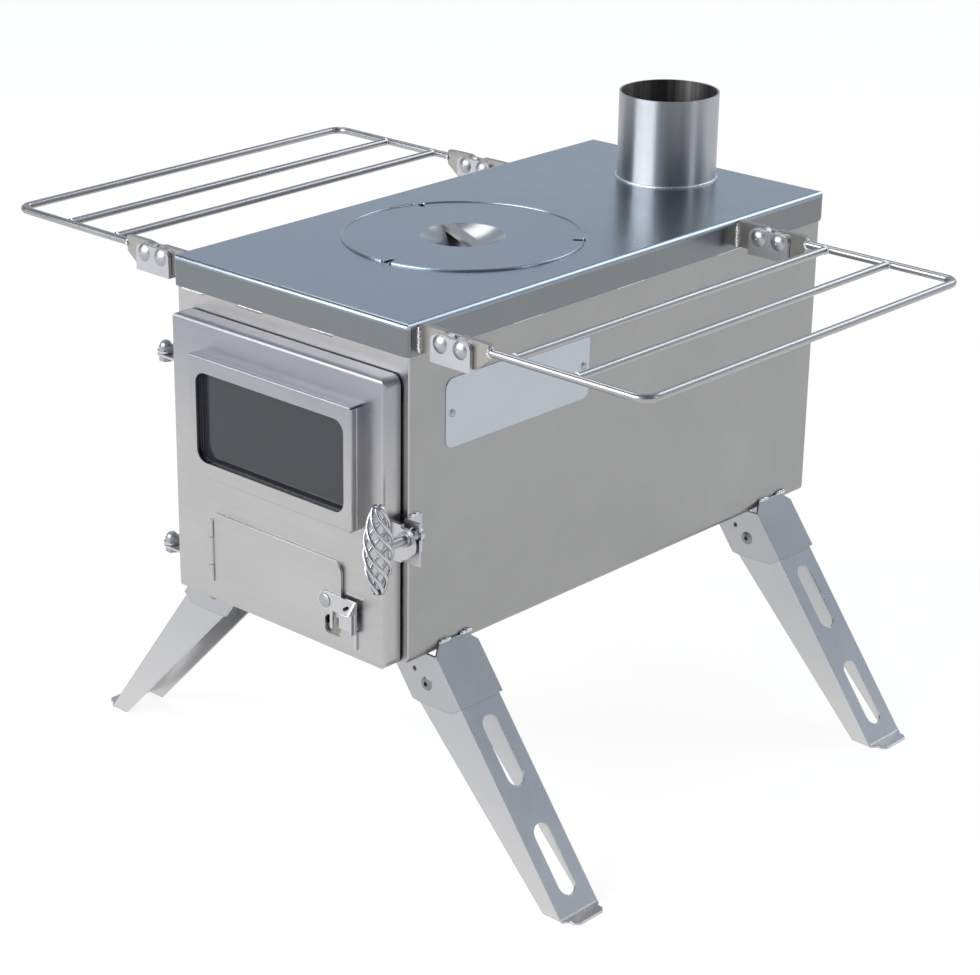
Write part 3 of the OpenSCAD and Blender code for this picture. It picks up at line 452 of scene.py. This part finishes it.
def colour_setting(name, description, default):
    return bpy.props.FloatVectorProperty(name=name, description=description, subtype="COLOR",
                                         default=default, min=0, max=1)


def length_setting(name, description, default, least, most):
    return bpy.props.FloatProperty(name=name, description=description, unit="LENGTH",
                                   subtype="DISTANCE", default=default, min=least, max=most)


def angle_setting(name, description, degrees):
    return bpy.props.FloatProperty(name=name, description=description, unit="ROTATION",
                                   subtype="ANGLE", default=math.radians(degrees))


class StoveFinishes(bpy.types.PropertyGroup):
    """Finishes"""
    # Sheet, top and door are one brushed stainless steel, set apart partly as painted light: the
    # top darker and bluer, the door lighter, the walls darker, as light falls on each face.
    sheet_colour: colour_setting("Sheet", "Colour of the firebox's sheet", (0.345, 0.345, 0.345))
    top_colour: colour_setting("Top", "Colour of the top plate and hotplate", (0.37, 0.425, 0.48))
    door_colour: colour_setting("Door", "Colour of the door and its frame", (0.49, 0.48, 0.48))
    leg_colour: colour_setting("Legs", "Colour of the folding legs", (0.50, 0.505, 0.52))
    rod_colour: colour_setting("Rods", "Colour of the racks' rods", (0.40, 0.40, 0.405))
    hinge_colour: colour_setting("Hinges", "Colour of ears and latch plates", (0.55, 0.55, 0.57))
    handle_colour: colour_setting("Handle", "Colour of the handle's wires", (0.51, 0.52, 0.54))
    flue_colour: colour_setting("Flue", "Colour of the flue collar", (0.42, 0.43, 0.45))
    glass_colour: colour_setting("Glass", "Colour of the window's glass", (0.042, 0.046, 0.056))
    sheet_roughness: bpy.props.FloatProperty(
        name="Sheet roughness", description="Roughness of the brushed sheet", subtype="FACTOR",
        default=0.34, min=0.1, max=0.8)


class StoveWelds(bpy.types.PropertyGroup):
    """Weld beads"""
    radius: length_setting("Bead radius", "Radius of a weld bead", 1.1 * MM, 0.5 * MM, 3 * MM)
    pitch: length_setting("Ripple pitch", "Distance from one ripple of a bead to the next",
                          2.2 * MM, 1 * MM, 6 * MM)


class StovePlate(bpy.types.PropertyGroup):
    """Rating plate"""
    length: length_setting("Length", "Length of the bare plate", 130.5 * MM, 40 * MM, 200 * MM)
    height: length_setting("Height", "Height of the bare plate", 44 * MM, 20 * MM, 80 * MM)
    thickness: length_setting("Thickness", "Thickness of the bare plate",
                              0.6 * MM, 0.3 * MM, 2 * MM)
    colour: colour_setting("Colour", "Colour of the bare rating plate", (0.53, 0.565, 0.61))


class StoveStage(bpy.types.PropertyGroup):
    """Camera"""
    camera_place: bpy.props.FloatVectorProperty(
        name="Camera", description="Where the camera stands", unit="LENGTH", subtype="TRANSLATION",
        default=(1.1078, -1.22705, 0.8407))
    camera_azimuth: angle_setting("Azimuth", "Angle of the view, from front to right", 44.47)
    camera_elevation: angle_setting("Elevation", "Angle at which the camera looks down", 22.23)
    lens: bpy.props.FloatProperty(
        name="Lens", description="Focal length on a 36 mm sensor", unit="CAMERA",
        default=97.67, min=20, max=300)
    shift: bpy.props.FloatVectorProperty(
        name="Shift", description="How far the picture's middle is off the lens's axis", size=2,
        default=(0.1091, 0.0206))


SETTINGS = {"stove_finishes": StoveFinishes, "stove_welds": StoveWelds, "stove_plate": StovePlate,
            "stove_stage": StoveStage}


# Pieces

class STOVE_OT_finishes(bpy.types.Operator):
    """Give every part of the packed stove its steel, glass or polished finish"""
    bl_idname = "stove.finishes"
    bl_label = "Finishes"

    white = (1.0, 1.0, 1.0)
    grate_colour = (0.3, 0.3, 0.3)
    link_colour = (0.54, 0.54, 0.57)
    bar_colour = (0.40, 0.39, 0.37)
    fastener_colour = (0.41, 0.415, 0.435)
    leg_rivet_colour = (0.24, 0.24, 0.24)
    # Brighter colour of the hotplate's dish: a painted sheen
    dish_sheen_colour = (0.47, 0.475, 0.485)
    soot_colour = (0.16, 0.15, 0.145)
    # Colour of the painted shade on the door's face, in the pocket under the ash latch's comb
    pocket_shade_colour = (0.30, 0.285, 0.265)
    bracket_shade = 0.9
    fine_grit = 0.3
    fold_radius = 1.2 * MM
    flue_wall = 1.1 * MM
    dish_radii = (26 * MM, 28.5 * MM)
    # Radii and place, off the comb's lowest corner, of that round patch of painted shade
    pocket_shade_radii = (9.5 * MM, 10.5 * MM)
    pocket_shade_off_comb = np.array((6.4, 0, 1.6)) * MM
    # Two heights, and what the steel's colour is multiplied by at each: painted light and shade.
    # The door and its frame are darker and bluer towards the top, the legs lighter near the floor,
    # and the skirts darker and warmer below the top plate's fold.
    door_painted_shade = (WRAP_LOW[2] + 80 * MM, WRAP_HIGH[2] - 10 * MM, white, (0.67, 0.71, 0.78))
    leg_painted_light = (0.0, 110 * MM, (1.25, 1.23, 1.2), white)
    skirt_painted_shade = (PLATE_HIGH[2] - 4 * MM, PLATE_HIGH[2] - 2 * MM, (0.55, 0.51, 0.475), white)

    def made(self, look):
        """The finishes, under the names of the packed slots and of the pieces that differ."""
        rough, fine = look.sheet_roughness, self.fine_grit
        top_rough, leg_rough = rough - 0.1, rough - 0.04
        # A round patch of painted shade on the door's face, in the pocket under the comb
        pocket_shade_place = corners("ash_latch_comb")[0] + self.pocket_shade_off_comb
        pocket_shade = (pocket_shade_place, *self.pocket_shade_radii, self.pocket_shade_colour)
        bracket_colour = [self.bracket_shade * c for c in look.leg_colour]
        return {
            "firebox": brushed_sheet("firebox_steel", look.sheet_colour, rough, WALL_GRAIN),
            "front": brushed_sheet("frame_steel", look.door_colour, rough, ALONG_X,
                                   painted_light_and_shade=self.door_painted_shade),
            "mouth": brushed_sheet("mouth_steel", look.door_colour, rough, ALONG_X),
            "door_panel": brushed_sheet("door_steel", look.door_colour, rough, ALONG_X,
                                        painted_light_and_shade=self.door_painted_shade, shade_spot=pocket_shade),
            "top": brushed_sheet("top_steel", look.top_colour, top_rough, ALONG_Y,
                                 patch=0.03, painted_light_and_shade=self.skirt_painted_shade, grit=fine),
            "hotplate": pressed_cover("hotplate_steel", look.top_colour, top_rough, self.dish_radii,
                                      self.dish_sheen_colour, dish_roughness=0.24),
            "flue": turned_tube("flue_steel", look.flue_colour, roughness=0.38, stretch=0.95,
                                soot=self.soot_colour, wall=self.flue_wall),
            "grate": brushed_sheet("grate_steel", self.grate_colour, 0.45, GRATE_GRAIN),
            "legs": brushed_sheet("leg_steel", look.leg_colour, leg_rough, LEG_GRAIN, patch=0.04,
                                  painted_light_and_shade=self.leg_painted_light, grit=fine, edge=self.fold_radius),
            "bracket": brushed_sheet("bracket_steel", bracket_colour, rough, LEG_GRAIN,
                                     grit=fine, edge=self.fold_radius),
            "rods": polished_metal("rod_steel", look.rod_colour, roughness=0.28),
            "hinges": brushed_sheet("hinge_steel", look.hinge_colour, 0.3, EVEN_GRAIN, grit=fine),
            "links": brushed_sheet("link_steel", self.link_colour, 0.42, EVEN_GRAIN, grit=fine),
            "bars": brushed_sheet("bar_steel", self.bar_colour, 0.34, EVEN_GRAIN, grit=fine),
            "fasteners": polished_metal("fastener_steel", self.fastener_colour, roughness=0.33),
            "leg_rivets": polished_metal("leg_rivet_steel", self.leg_rivet_colour, roughness=0.24),
            "handle": polished_metal("handle_steel", look.handle_colour, roughness=0.16),
            "glass": fire_glass("window_glass", look.glass_colour),
        }

    def execute(self, context):
        made = self.made(context.scene.stove_finishes)
        # The latch keeper takes the paler link steel as painted light: it stands in the shade
        # between the door and the wall
        own = {"door_panel": "door_panel", "latch_keeper": "links", "front_frame": "mouth",
               "leg_rivets": "leg_rivets", "hotplate_bar": "bars"}
        own.update({node: "bracket" for node in BRACKETS})
        own.update({kind + word: "bars" for kind in ("rack_bars_", "rack_ends_")
                    for _, word in SIDES})
        own.update({part["node"]: "links" for part in RECORD["subparts"]
                    if part["node"].startswith("link_") and part["material_slot"] == "hinges"})
        for part in RECORD["subparts"]:
            piece = frame["nodes"][part["node"]]
            piece.data.materials.clear()
            piece.data.materials.append(made[own.get(part["node"], part["material_slot"])])
        return {"FINISHED"}


class STOVE_OT_handle(bpy.types.Operator):
    """Draw the basket handle's twisted wires as smooth round tubes"""
    bl_idname = "stove.handle"
    bl_label = "Basket handle"

    wires = 6
    wire_radius = 1.2 * MM
    end_radius = 2.7 * MM
    belly_radius = 8.3 * MM
    pitch = 62 * MM
    swell = 0.85
    points = 90
    sides = 14

    def execute(self, context):
        """Each wire is a helix whose radius swells from the ends to the middle: the end radius plus
        the rest times a sine raised to the swell power, as in the part's own solid."""
        low, high = corners("basket_wires")
        length = high[2] - low[2]
        spindle_low, spindle_high = corners("latch_spindle")
        centre = np.array([(spindle_low[0] + spindle_high[0]) / 2,
                           spindle_low[1] - self.belly_radius, (low[2] + high[2]) / 2])
        share = np.linspace(0, 1, self.points)
        swelling = (self.belly_radius - self.end_radius) * np.sin(math.pi * share) ** self.swell
        radius = self.end_radius + swelling
        height = length * (share - 0.5)
        made = []
        for k in range(self.wires):
            turn = TURN / 4 + TURN * k / self.wires - TURN * length / self.pitch * (share - 0.5)
            path = np.stack([radius * np.cos(turn), radius * np.sin(turn), height], axis=-1)
            made.append(tube("basket_wire", centre + path, self.wire_radius, self.sides))
        piece = joined("basket_handle_wires", made)
        piece.data.materials.append(bpy.data.materials["handle_steel"])
        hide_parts("basket_wires")
        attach(piece, "latch")
        return {"FINISHED"}


class STOVE_OT_rim(bpy.types.Operator):
    """Roll the edge of the hotplate's cover, between its three notches"""
    bl_idname = "stove.rim"
    bl_label = "Cover rim"

    notches = 3
    notch_first = math.radians(35)
    notch_half = math.radians(1.9)
    tube_radius = 1.0 * MM
    in_from_edge = 0.6 * MM
    below_top = 0.2 * MM
    points = 60

    def execute(self, context):
        low, high = corners("hotplate_cover")
        reach = (high[0] - low[0]) / 2 - self.in_from_edge
        centre = (*((low + high) / 2)[:2], high[2] - self.below_top)
        made = []
        for k in range(self.notches):
            first = self.notch_first + TURN * k / self.notches + self.notch_half
            last = first + TURN / self.notches - 2 * self.notch_half
            angles = np.linspace(first, last, self.points)
            made.append(tube("cover_rim_arc", arc(centre, reach, 2, angles), self.tube_radius))
        rim = joined("hotplate_cover_rim", made)
        rim.data.materials.append(bpy.data.materials["hotplate_steel"])
        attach(rim, "hotplate")
        return {"FINISHED"}


class STOVE_OT_welds(bpy.types.Operator):
    """Lay the welds of the firebox, the flue, the brackets, the door and the racks"""
    bl_idname = "stove.welds"
    bl_label = "Weld beads"

    metal_colour = (0.72, 0.72, 0.715)
    metal_roughness = 0.3
    first_seed, seed_step = 11, 7

    # Starts and ends of tacks in mm: along X, from the top plate's front and from a bracket's front
    front_tacks = ((-98, -76), (-47, -22), (18, 39))
    side_tacks = ((91, 120), (188, 217), (290, 319))
    bracket_tacks = ((7, 18), (26, 37))

    # How far a bead's middle lies off the face or the edge that it follows
    skirt_down = 0.2 * MM
    front_off, front_down = 1.1 * MM, 0.9 * MM
    side_off = 0.5 * MM
    flue_off, flue_up = 0.2 * MM, 0.3 * MM
    bracket_off, bracket_up = 0.9 * MM, 0.1 * MM
    keeper_in, keeper_up, keeper_down = 0.4 * MM, 0.2 * MM, 0.1 * MM
    lug_off = 0.2 * MM
    ear_off, ear_behind = 0.6 * MM, 0.2 * MM
    bar_off = 0.3 * MM
    rod_end_off = 0.1 * MM

    # How far a bead starts after the start of its edge and stops before the end of it
    keeper_upper_ends = (3.5 * MM, 1 * MM)
    keeper_lower_ends = (4 * MM, 3 * MM)
    lug_ends = (1 * MM, 1 * MM)
    ear_ends = (0.6 * MM, 1 * MM)
    bar_ends = (-0.5 * MM, 1.5 * MM)
    ear_height = 9.5 * MM
    bar_thickness = 4 * MM

    # Points along each path
    front_points, side_points, bracket_points, keeper_points = 60, 70, 30, 30
    lug_points, ear_points, bar_points = 40, 24, 44
    flue_points, rod_points = 360, 40

    def laid(self, name, body, slot, paths, share, closed=False):
        """Beads along several paths, as one object on a body. Their radius is a share of the set
        one, and each has a seed of its own."""
        welds = bpy.context.scene.stove_welds
        made = []
        for k, path in enumerate(paths):
            seed = self.first_seed + self.seed_step * k
            made.append(bead(name, path, share * welds.radius, welds.pitch, seed, closed))
        piece = joined(name, made)
        piece.data.materials.append(bpy.data.materials["weld_steel"])
        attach(piece, body)

    def execute(self, context):
        weld_metal("weld_steel", self.metal_colour, self.metal_roughness)
        self.firebox()
        self.flue()
        self.brackets()
        self.latch()
        self.ears()
        for side, word in SIDES:
            self.bars(side, word)
            self.rods(side, word)
        return {"FINISHED"}

    def firebox(self):
        """Tacks under the top plate's skirt, across the front and along both walls."""
        z = PLATE_LOW[2] - self.skirt_down
        paths = [line(self.front_points, (a * MM, b * MM), WRAP_LOW[1] - self.front_off,
                      z - self.front_down)
                 for a, b in self.front_tacks]
        self.laid("weld_front_tacks", "stove", "front", paths, share=1.3)
        x = WRAP_HIGH[0] + self.side_off
        paths = [line(self.side_points, side * x, (FRONT_Y + a * MM, FRONT_Y + b * MM), z)
                 for side in (-1, 1) for a, b in self.side_tacks]
        self.laid("weld_side_tacks", "stove", "firebox", paths, share=0.9)

    def flue(self):
        """One bead all round the foot of the flue collar."""
        low, high = corners("flue_collar")
        centre = (*((low + high) / 2)[:2], low[2] + self.flue_up)
        reach = (high[0] - low[0]) / 2 + self.flue_off
        ring = arc(centre, reach, 2, whole_turn(self.flue_points))
        self.laid("weld_flue_base", "stove", "flue", [ring], share=0.9, closed=True)

    def brackets(self):
        """Two tacks along the top of each leg bracket."""
        paths = []
        for node in BRACKETS:
            low, high = corners(node)
            x = np.sign(low[0] + high[0]) * (WRAP_HIGH[0] + self.bracket_off)
            z = high[2] + self.bracket_up
            paths += [line(self.bracket_points, x, (low[1] + a * MM, low[1] + b * MM), z)
                      for a, b in self.bracket_tacks]
        self.laid("weld_leg_brackets", "stove", "legs", paths, share=1.35)

    def latch(self):
        """Beads above and below the latch keeper, and one down the side of the door's latch lug."""
        low, high = corners("latch_keeper")
        x = low[0] + self.keeper_in
        paths = []
        for z, (start, end) in ((high[2] + self.keeper_up, self.keeper_upper_ends),
                                (low[2] - self.keeper_down, self.keeper_lower_ends)):
            paths.append(line(self.keeper_points, x, (low[1] + start, high[1] - end), z))
        self.laid("weld_latch_keeper", "stove", "hinges", paths, share=1.1)

        low, high = corners("latch_lug")
        start, end = self.lug_ends
        path = line(self.lug_points, low[0] + self.lug_off, low[1] - self.lug_off,
                    (low[2] + start, high[2] - end))
        self.laid("weld_latch_lug", "door", "hinges", [path], share=0.7)

    def ears(self):
        """An upright bead behind each fixed hinge ear."""
        low, high = corners("hinge_ears_fixed")
        start, end = self.ear_ends
        x, y = -WRAP_HIGH[0] - self.ear_off, high[1] + self.ear_behind
        paths = [line(self.ear_points, x, y, (z + start, z + self.ear_height - end))
                 for z in (low[2], high[2] - self.ear_height)]
        self.laid("weld_hinge_ears", "stove", "hinges", paths, share=1.0)

    def bars(self, side, word):
        """An upright bead on both sides of each hinge bar of a rack."""
        low, high = corners("rack_bars_" + word)
        start, end = self.bar_ends
        x = side * (PLATE_HIGH[0] + self.bar_off)
        faces = ((low[1], -1), (low[1] + self.bar_thickness, 1),
                 (high[1] - self.bar_thickness, -1), (high[1], 1))
        z = (low[2] + start, high[2] - end)
        paths = [line(self.bar_points, x, y + face * self.bar_off, z) for y, face in faces]
        self.laid("weld_rack_bars_" + word, "stove", "hinges", paths, share=1.5)

    def rods(self, side, word):
        """Rings where a rack's straight rods meet its frame, and where that meets its flat ends."""
        low, high = corners("rack_frame_" + word)
        rod = (high[2] - low[2]) / 2
        z = (low[2] + high[2]) / 2
        angles = whole_turn(self.rod_points)
        paths = []
        for node in ("rack_inner_" + word, "rack_middle_" + word):
            rod_low, rod_high = corners(node)
            x = (rod_low[0] + rod_high[0]) / 2
            paths += [arc((x, y, z), rod, 1, angles) for y in (low[1] + 2 * rod, high[1] - 2 * rod)]
        self.laid("weld_rack_rods_" + word, "rack_" + word, "rods", paths, share=0.55, closed=True)

        ends_low, ends_high = corners("rack_ends_" + word)
        x = (ends_high[0] if side > 0 else ends_low[0]) + side * self.rod_end_off
        paths = [arc((x, y, z), rod, 0, angles) for y in (low[1] + rod, high[1] - rod)]
        self.laid("weld_rod_ends_" + word, "rack_" + word, "rods", paths, share=0.9, closed=True)


class STOVE_OT_plate(bpy.types.Operator):
    """Fix a bare rating plate with two rivets to the firebox's right wall"""
    bl_idname = "stove.plate"
    bl_label = "Rating plate"

    start_y = 34 * MM
    top_z = -42 * MM
    corner_radius = 6 * MM
    corner_points = 13
    roughness = 0.34
    # Heights above the wall as shares of the thickness, and how far the outline is drawn in there
    levels = ((0, 0), (0.7, 0), (1, 0.25 * MM), (1, 1.5 * MM))
    rivet_radius = 2.6 * MM
    rivet_height = 1.3 * MM
    rivet_in = 5.5 * MM
    rivet_seat_share = 0.9

    def outline(self, length, height, inset):
        """Points of a rectangle with round corners, going round once from the lower right one."""
        r = self.corner_radius - inset
        quarter = np.linspace(0, TURN / 4, self.corner_points)
        points = []
        for k, (sy, sz) in enumerate(((1, -1), (1, 1), (-1, 1), (-1, -1))):
            angle = quarter + (k - 1) * TURN / 4
            points.append(np.stack([sy * (length / 2 - inset - r) + r * np.cos(angle),
                                    sz * (height / 2 - inset - r) + r * np.sin(angle)], axis=-1))
        return np.vstack(points)

    def execute(self, context):
        """Four outlines, one above another, make the sheet: its edge stands on the wall, rounds
        over and closes on the middle of the face."""
        plate = context.scene.stove_plate
        wall = WRAP_HIGH[0]
        middle = np.array([FRONT_Y + self.start_y + plate.length / 2,
                           PLATE_HIGH[2] + self.top_z - plate.height / 2])
        rows = []
        for share, inset in self.levels:
            ring = self.outline(plate.length, plate.height, inset) + middle
            rows.append(np.column_stack([np.full(len(ring), wall + share * plate.thickness), ring]))
        rows.append(np.tile((wall + plate.thickness, *middle), (len(rows[0]), 1)))
        piece = surface("rating_plate", np.array(rows), closed_v=True, smooth=False)
        piece.data.materials.append(plate_metal("plate_steel", plate.colour, self.roughness))
        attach(piece, "stove")
        made = []
        for end in (-1, 1):
            place = (wall + self.rivet_seat_share * plate.thickness,
                     middle[0] + end * (plate.length / 2 - self.rivet_in), middle[1])
            made.append(dome("plate_rivet", place, (1, 0, 0), self.rivet_radius, self.rivet_height))
        rivets = joined("rating_plate_rivets", made)
        rivets.data.materials.append(bpy.data.materials["fastener_steel"])
        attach(rivets, "stove")
        return {"FINISHED"}


class STOVE_OT_stage(bpy.types.Operator):
    """Set the floor, the studio's light and the camera"""
    bl_idname = "stove.stage"
    bl_label = "Stage"

    floor_half = 6.0
    floor_share = 0.78
    floor_white = 1.12
    sky_light = 1.0
    # Places from 0 to 1 and the sky's brightness there: upwards in colour, and round about in grey.
    # A ramp starts with two stops, and the others are put between these.
    sky_heights = ((0.0, (0.85, 0.85, 0.85)), (1.0, (0.40, 0.42, 0.46)), (0.35, (0.50, 0.57, 0.68)))
    sky_sides = ((0.0, 0.9), (0.95, 0.9), (0.05, 0.4), (0.15, 0.35), (0.2, 1.0), (0.3, 1.0),
                 (0.36, 0.35), (0.5, 0.35), (0.54, 0.75), (0.585, 0.5), (0.63, 0.95), (0.72, 1.0))
    # Name, place, width, height and power of each soft box
    boxes = (("key", (-0.74, -2.2, 1.35), 2.5, 1.6, 58),
             ("fill", (2.3, 0.6, 1.3), 0.5, 0.9, 4),
             ("back", (0.6, 2.2, 2.0), 1.4, 1.4, 14),
             ("top", (-1.0, 0.3, 2.0), 0.9, 0.9, 5))
    boxes_aim = Vector((0, 0, 0.22))
    sensor_width = 36.0
    clip = (0.05, 30.0)

    def execute(self, context):
        self.floor()
        self.sky(context.scene)
        self.lamps(context.scene)
        self.camera(context.scene)
        context.scene.view_settings.view_transform = "Standard"
        return {"FINISHED"}

    def floor(self):
        """A wide flat floor. What the camera and the metal see of it is mostly plain white, and the
        rest is shaded, so that a soft shadow stays."""
        half = self.floor_half
        grid = [[(-half, half, 0), (-half, -half, 0)], [(half, half, 0), (half, -half, 0)]]
        floor = surface("studio_floor", np.array(grid, float), smooth=False)
        material = bpy.data.materials.new("studio_white")
        tree = emptied(material)
        rays = put(tree, "ShaderNodeLightPath").outputs
        seen = reckoned(tree, "MAXIMUM", rays["Is Camera Ray"], rays["Is Transmission Ray"])
        seen = reckoned(tree, "MAXIMUM", seen, rays["Is Glossy Ray"])
        shaded = put(tree, "ShaderNodeBsdfDiffuse", {"Color": (0.9, 0.9, 0.9, 1)})
        plain = put(tree, "ShaderNodeEmission", {
            "Color": (1, 1, 1, 1), "Strength": self.floor_white})
        mix = put(tree, "ShaderNodeMixShader", {
            0: reckoned(tree, "MULTIPLY", seen, self.floor_share),
            1: shaded.outputs["BSDF"], 2: plain.outputs["Emission"]})
        put(tree, "ShaderNodeOutputMaterial", {"Surface": mix.outputs["Shader"]})
        floor.data.materials.append(material)

    def sky(self, scene):
        """The studio all round: white to the camera. For light and reflections a pale horizon falls
        to a cool grey overhead, and round about bright and dark sides follow each other."""
        world = bpy.data.worlds.new("studio_sky")
        tree = emptied(world)
        place = put(tree, "ShaderNodeTexCoord")
        parts = put(tree, "ShaderNodeSeparateXYZ", {"Vector": place.outputs["Generated"]})
        angle = reckoned(tree, "ARCTAN2", parts.outputs["Y"], parts.outputs["X"])
        around = spread(tree, angle, (0, 1), (-math.pi, math.pi))
        greys = [(stop, (grey, grey, grey)) for stop, grey in self.sky_sides]
        sides = self.ramp(tree, around, greys)
        heights = self.ramp(tree, parts.outputs["Z"], self.sky_heights)
        both = blended(tree, 1.0, heights, sides, blend_type="MULTIPLY")
        lit = put(tree, "ShaderNodeBackground", {"Color": both, "Strength": self.sky_light})
        white = put(tree, "ShaderNodeBackground", {"Color": (1, 1, 1, 1), "Strength": 1.0})
        rays = put(tree, "ShaderNodeLightPath")
        mix = put(tree, "ShaderNodeMixShader", {
            0: rays.outputs["Is Camera Ray"],
            1: lit.outputs["Background"], 2: white.outputs["Background"]})
        put(tree, "ShaderNodeOutputWorld", {"Surface": mix.outputs["Shader"]})
        scene.world = world

    def ramp(self, tree, value, stops):
        """Colours at places from 0 to 1, blended between."""
        made = put(tree, "ShaderNodeValToRGB", {"Fac": value})
        elements = made.color_ramp.elements
        for k, (place, colour) in enumerate(stops):
            stop = elements[k] if k < 2 else elements.new(place)
            stop.position = place
            stop.color = (*colour, 1)
        return made.outputs["Color"]

    def lamps(self, scene):
        """Four soft boxes: a wide key in front, a narrow strip at the right, one behind and one
        above."""
        for name, place, width, height, power in self.boxes:
            data = bpy.data.lights.new("studio_" + name, "AREA")
            data.shape = "RECTANGLE"
            data.size, data.size_y = width, height
            data.energy = power
            lamp = bpy.data.objects.new("studio_" + name, data)
            lamp.location = place
            aim = self.boxes_aim - Vector(place)
            lamp.rotation_euler = aim.to_track_quat("-Z", "Y").to_euler()
            scene.collection.objects.link(lamp)

    def camera(self, scene):
        """The camera of the photograph, found by fitting the stove's edges."""
        stage = scene.stove_stage
        data = bpy.data.cameras.new("photo_camera")
        data.sensor_width = self.sensor_width
        data.lens = stage.lens
        data.shift_x, data.shift_y = stage.shift
        data.clip_start, data.clip_end = self.clip
        camera = bpy.data.objects.new("photo_camera", data)
        az, el = stage.camera_azimuth, stage.camera_elevation
        back = Vector((math.sin(az) * math.cos(el), -math.cos(az) * math.cos(el), math.sin(el)))
        camera.location = stage.camera_place
        camera.rotation_euler = (-back).to_track_quat("-Z", "Y").to_euler()
        scene.collection.objects.link(camera)
        scene.camera = camera


class STOVE_PT_pieces(bpy.types.Panel):
    """The stove's pieces and their settings"""
    bl_idname = "STOVE_PT_pieces"
    bl_label = "Tent stove"
    bl_space_type = "VIEW_3D"
    bl_region_type = "UI"
    bl_category = "Tent stove"

    def draw(self, context):
        for name, group in SETTINGS.items():
            box = self.layout.box()
            box.label(text=group.__doc__)
            for key in group.__annotations__:
                box.prop(getattr(context.scene, name), key)
        for operator in OPERATORS:
            self.layout.operator(operator.bl_idname)


OPERATORS = (STOVE_OT_finishes, STOVE_OT_handle, STOVE_OT_rim, STOVE_OT_welds, STOVE_OT_plate,
             STOVE_OT_stage)


def register():
    for kind in (*SETTINGS.values(), *OPERATORS, STOVE_PT_pieces):
        bpy.utils.register_class(kind)
    for name, group in SETTINGS.items():
        setattr(bpy.types.Scene, name, bpy.props.PointerProperty(type=group))


def unregister():
    for name in SETTINGS:
        delattr(bpy.types.Scene, name)
    for kind in reversed((*SETTINGS.values(), *OPERATORS, STOVE_PT_pieces)):
        bpy.utils.unregister_class(kind)


def main():
    register()
    bpy.ops.stove.finishes()
    bpy.ops.stove.handle()
    bpy.ops.stove.rim()
    bpy.ops.stove.welds()
    bpy.ops.stove.plate()
    bpy.ops.stove.stage()


if __name__ == "__main__":
    main()
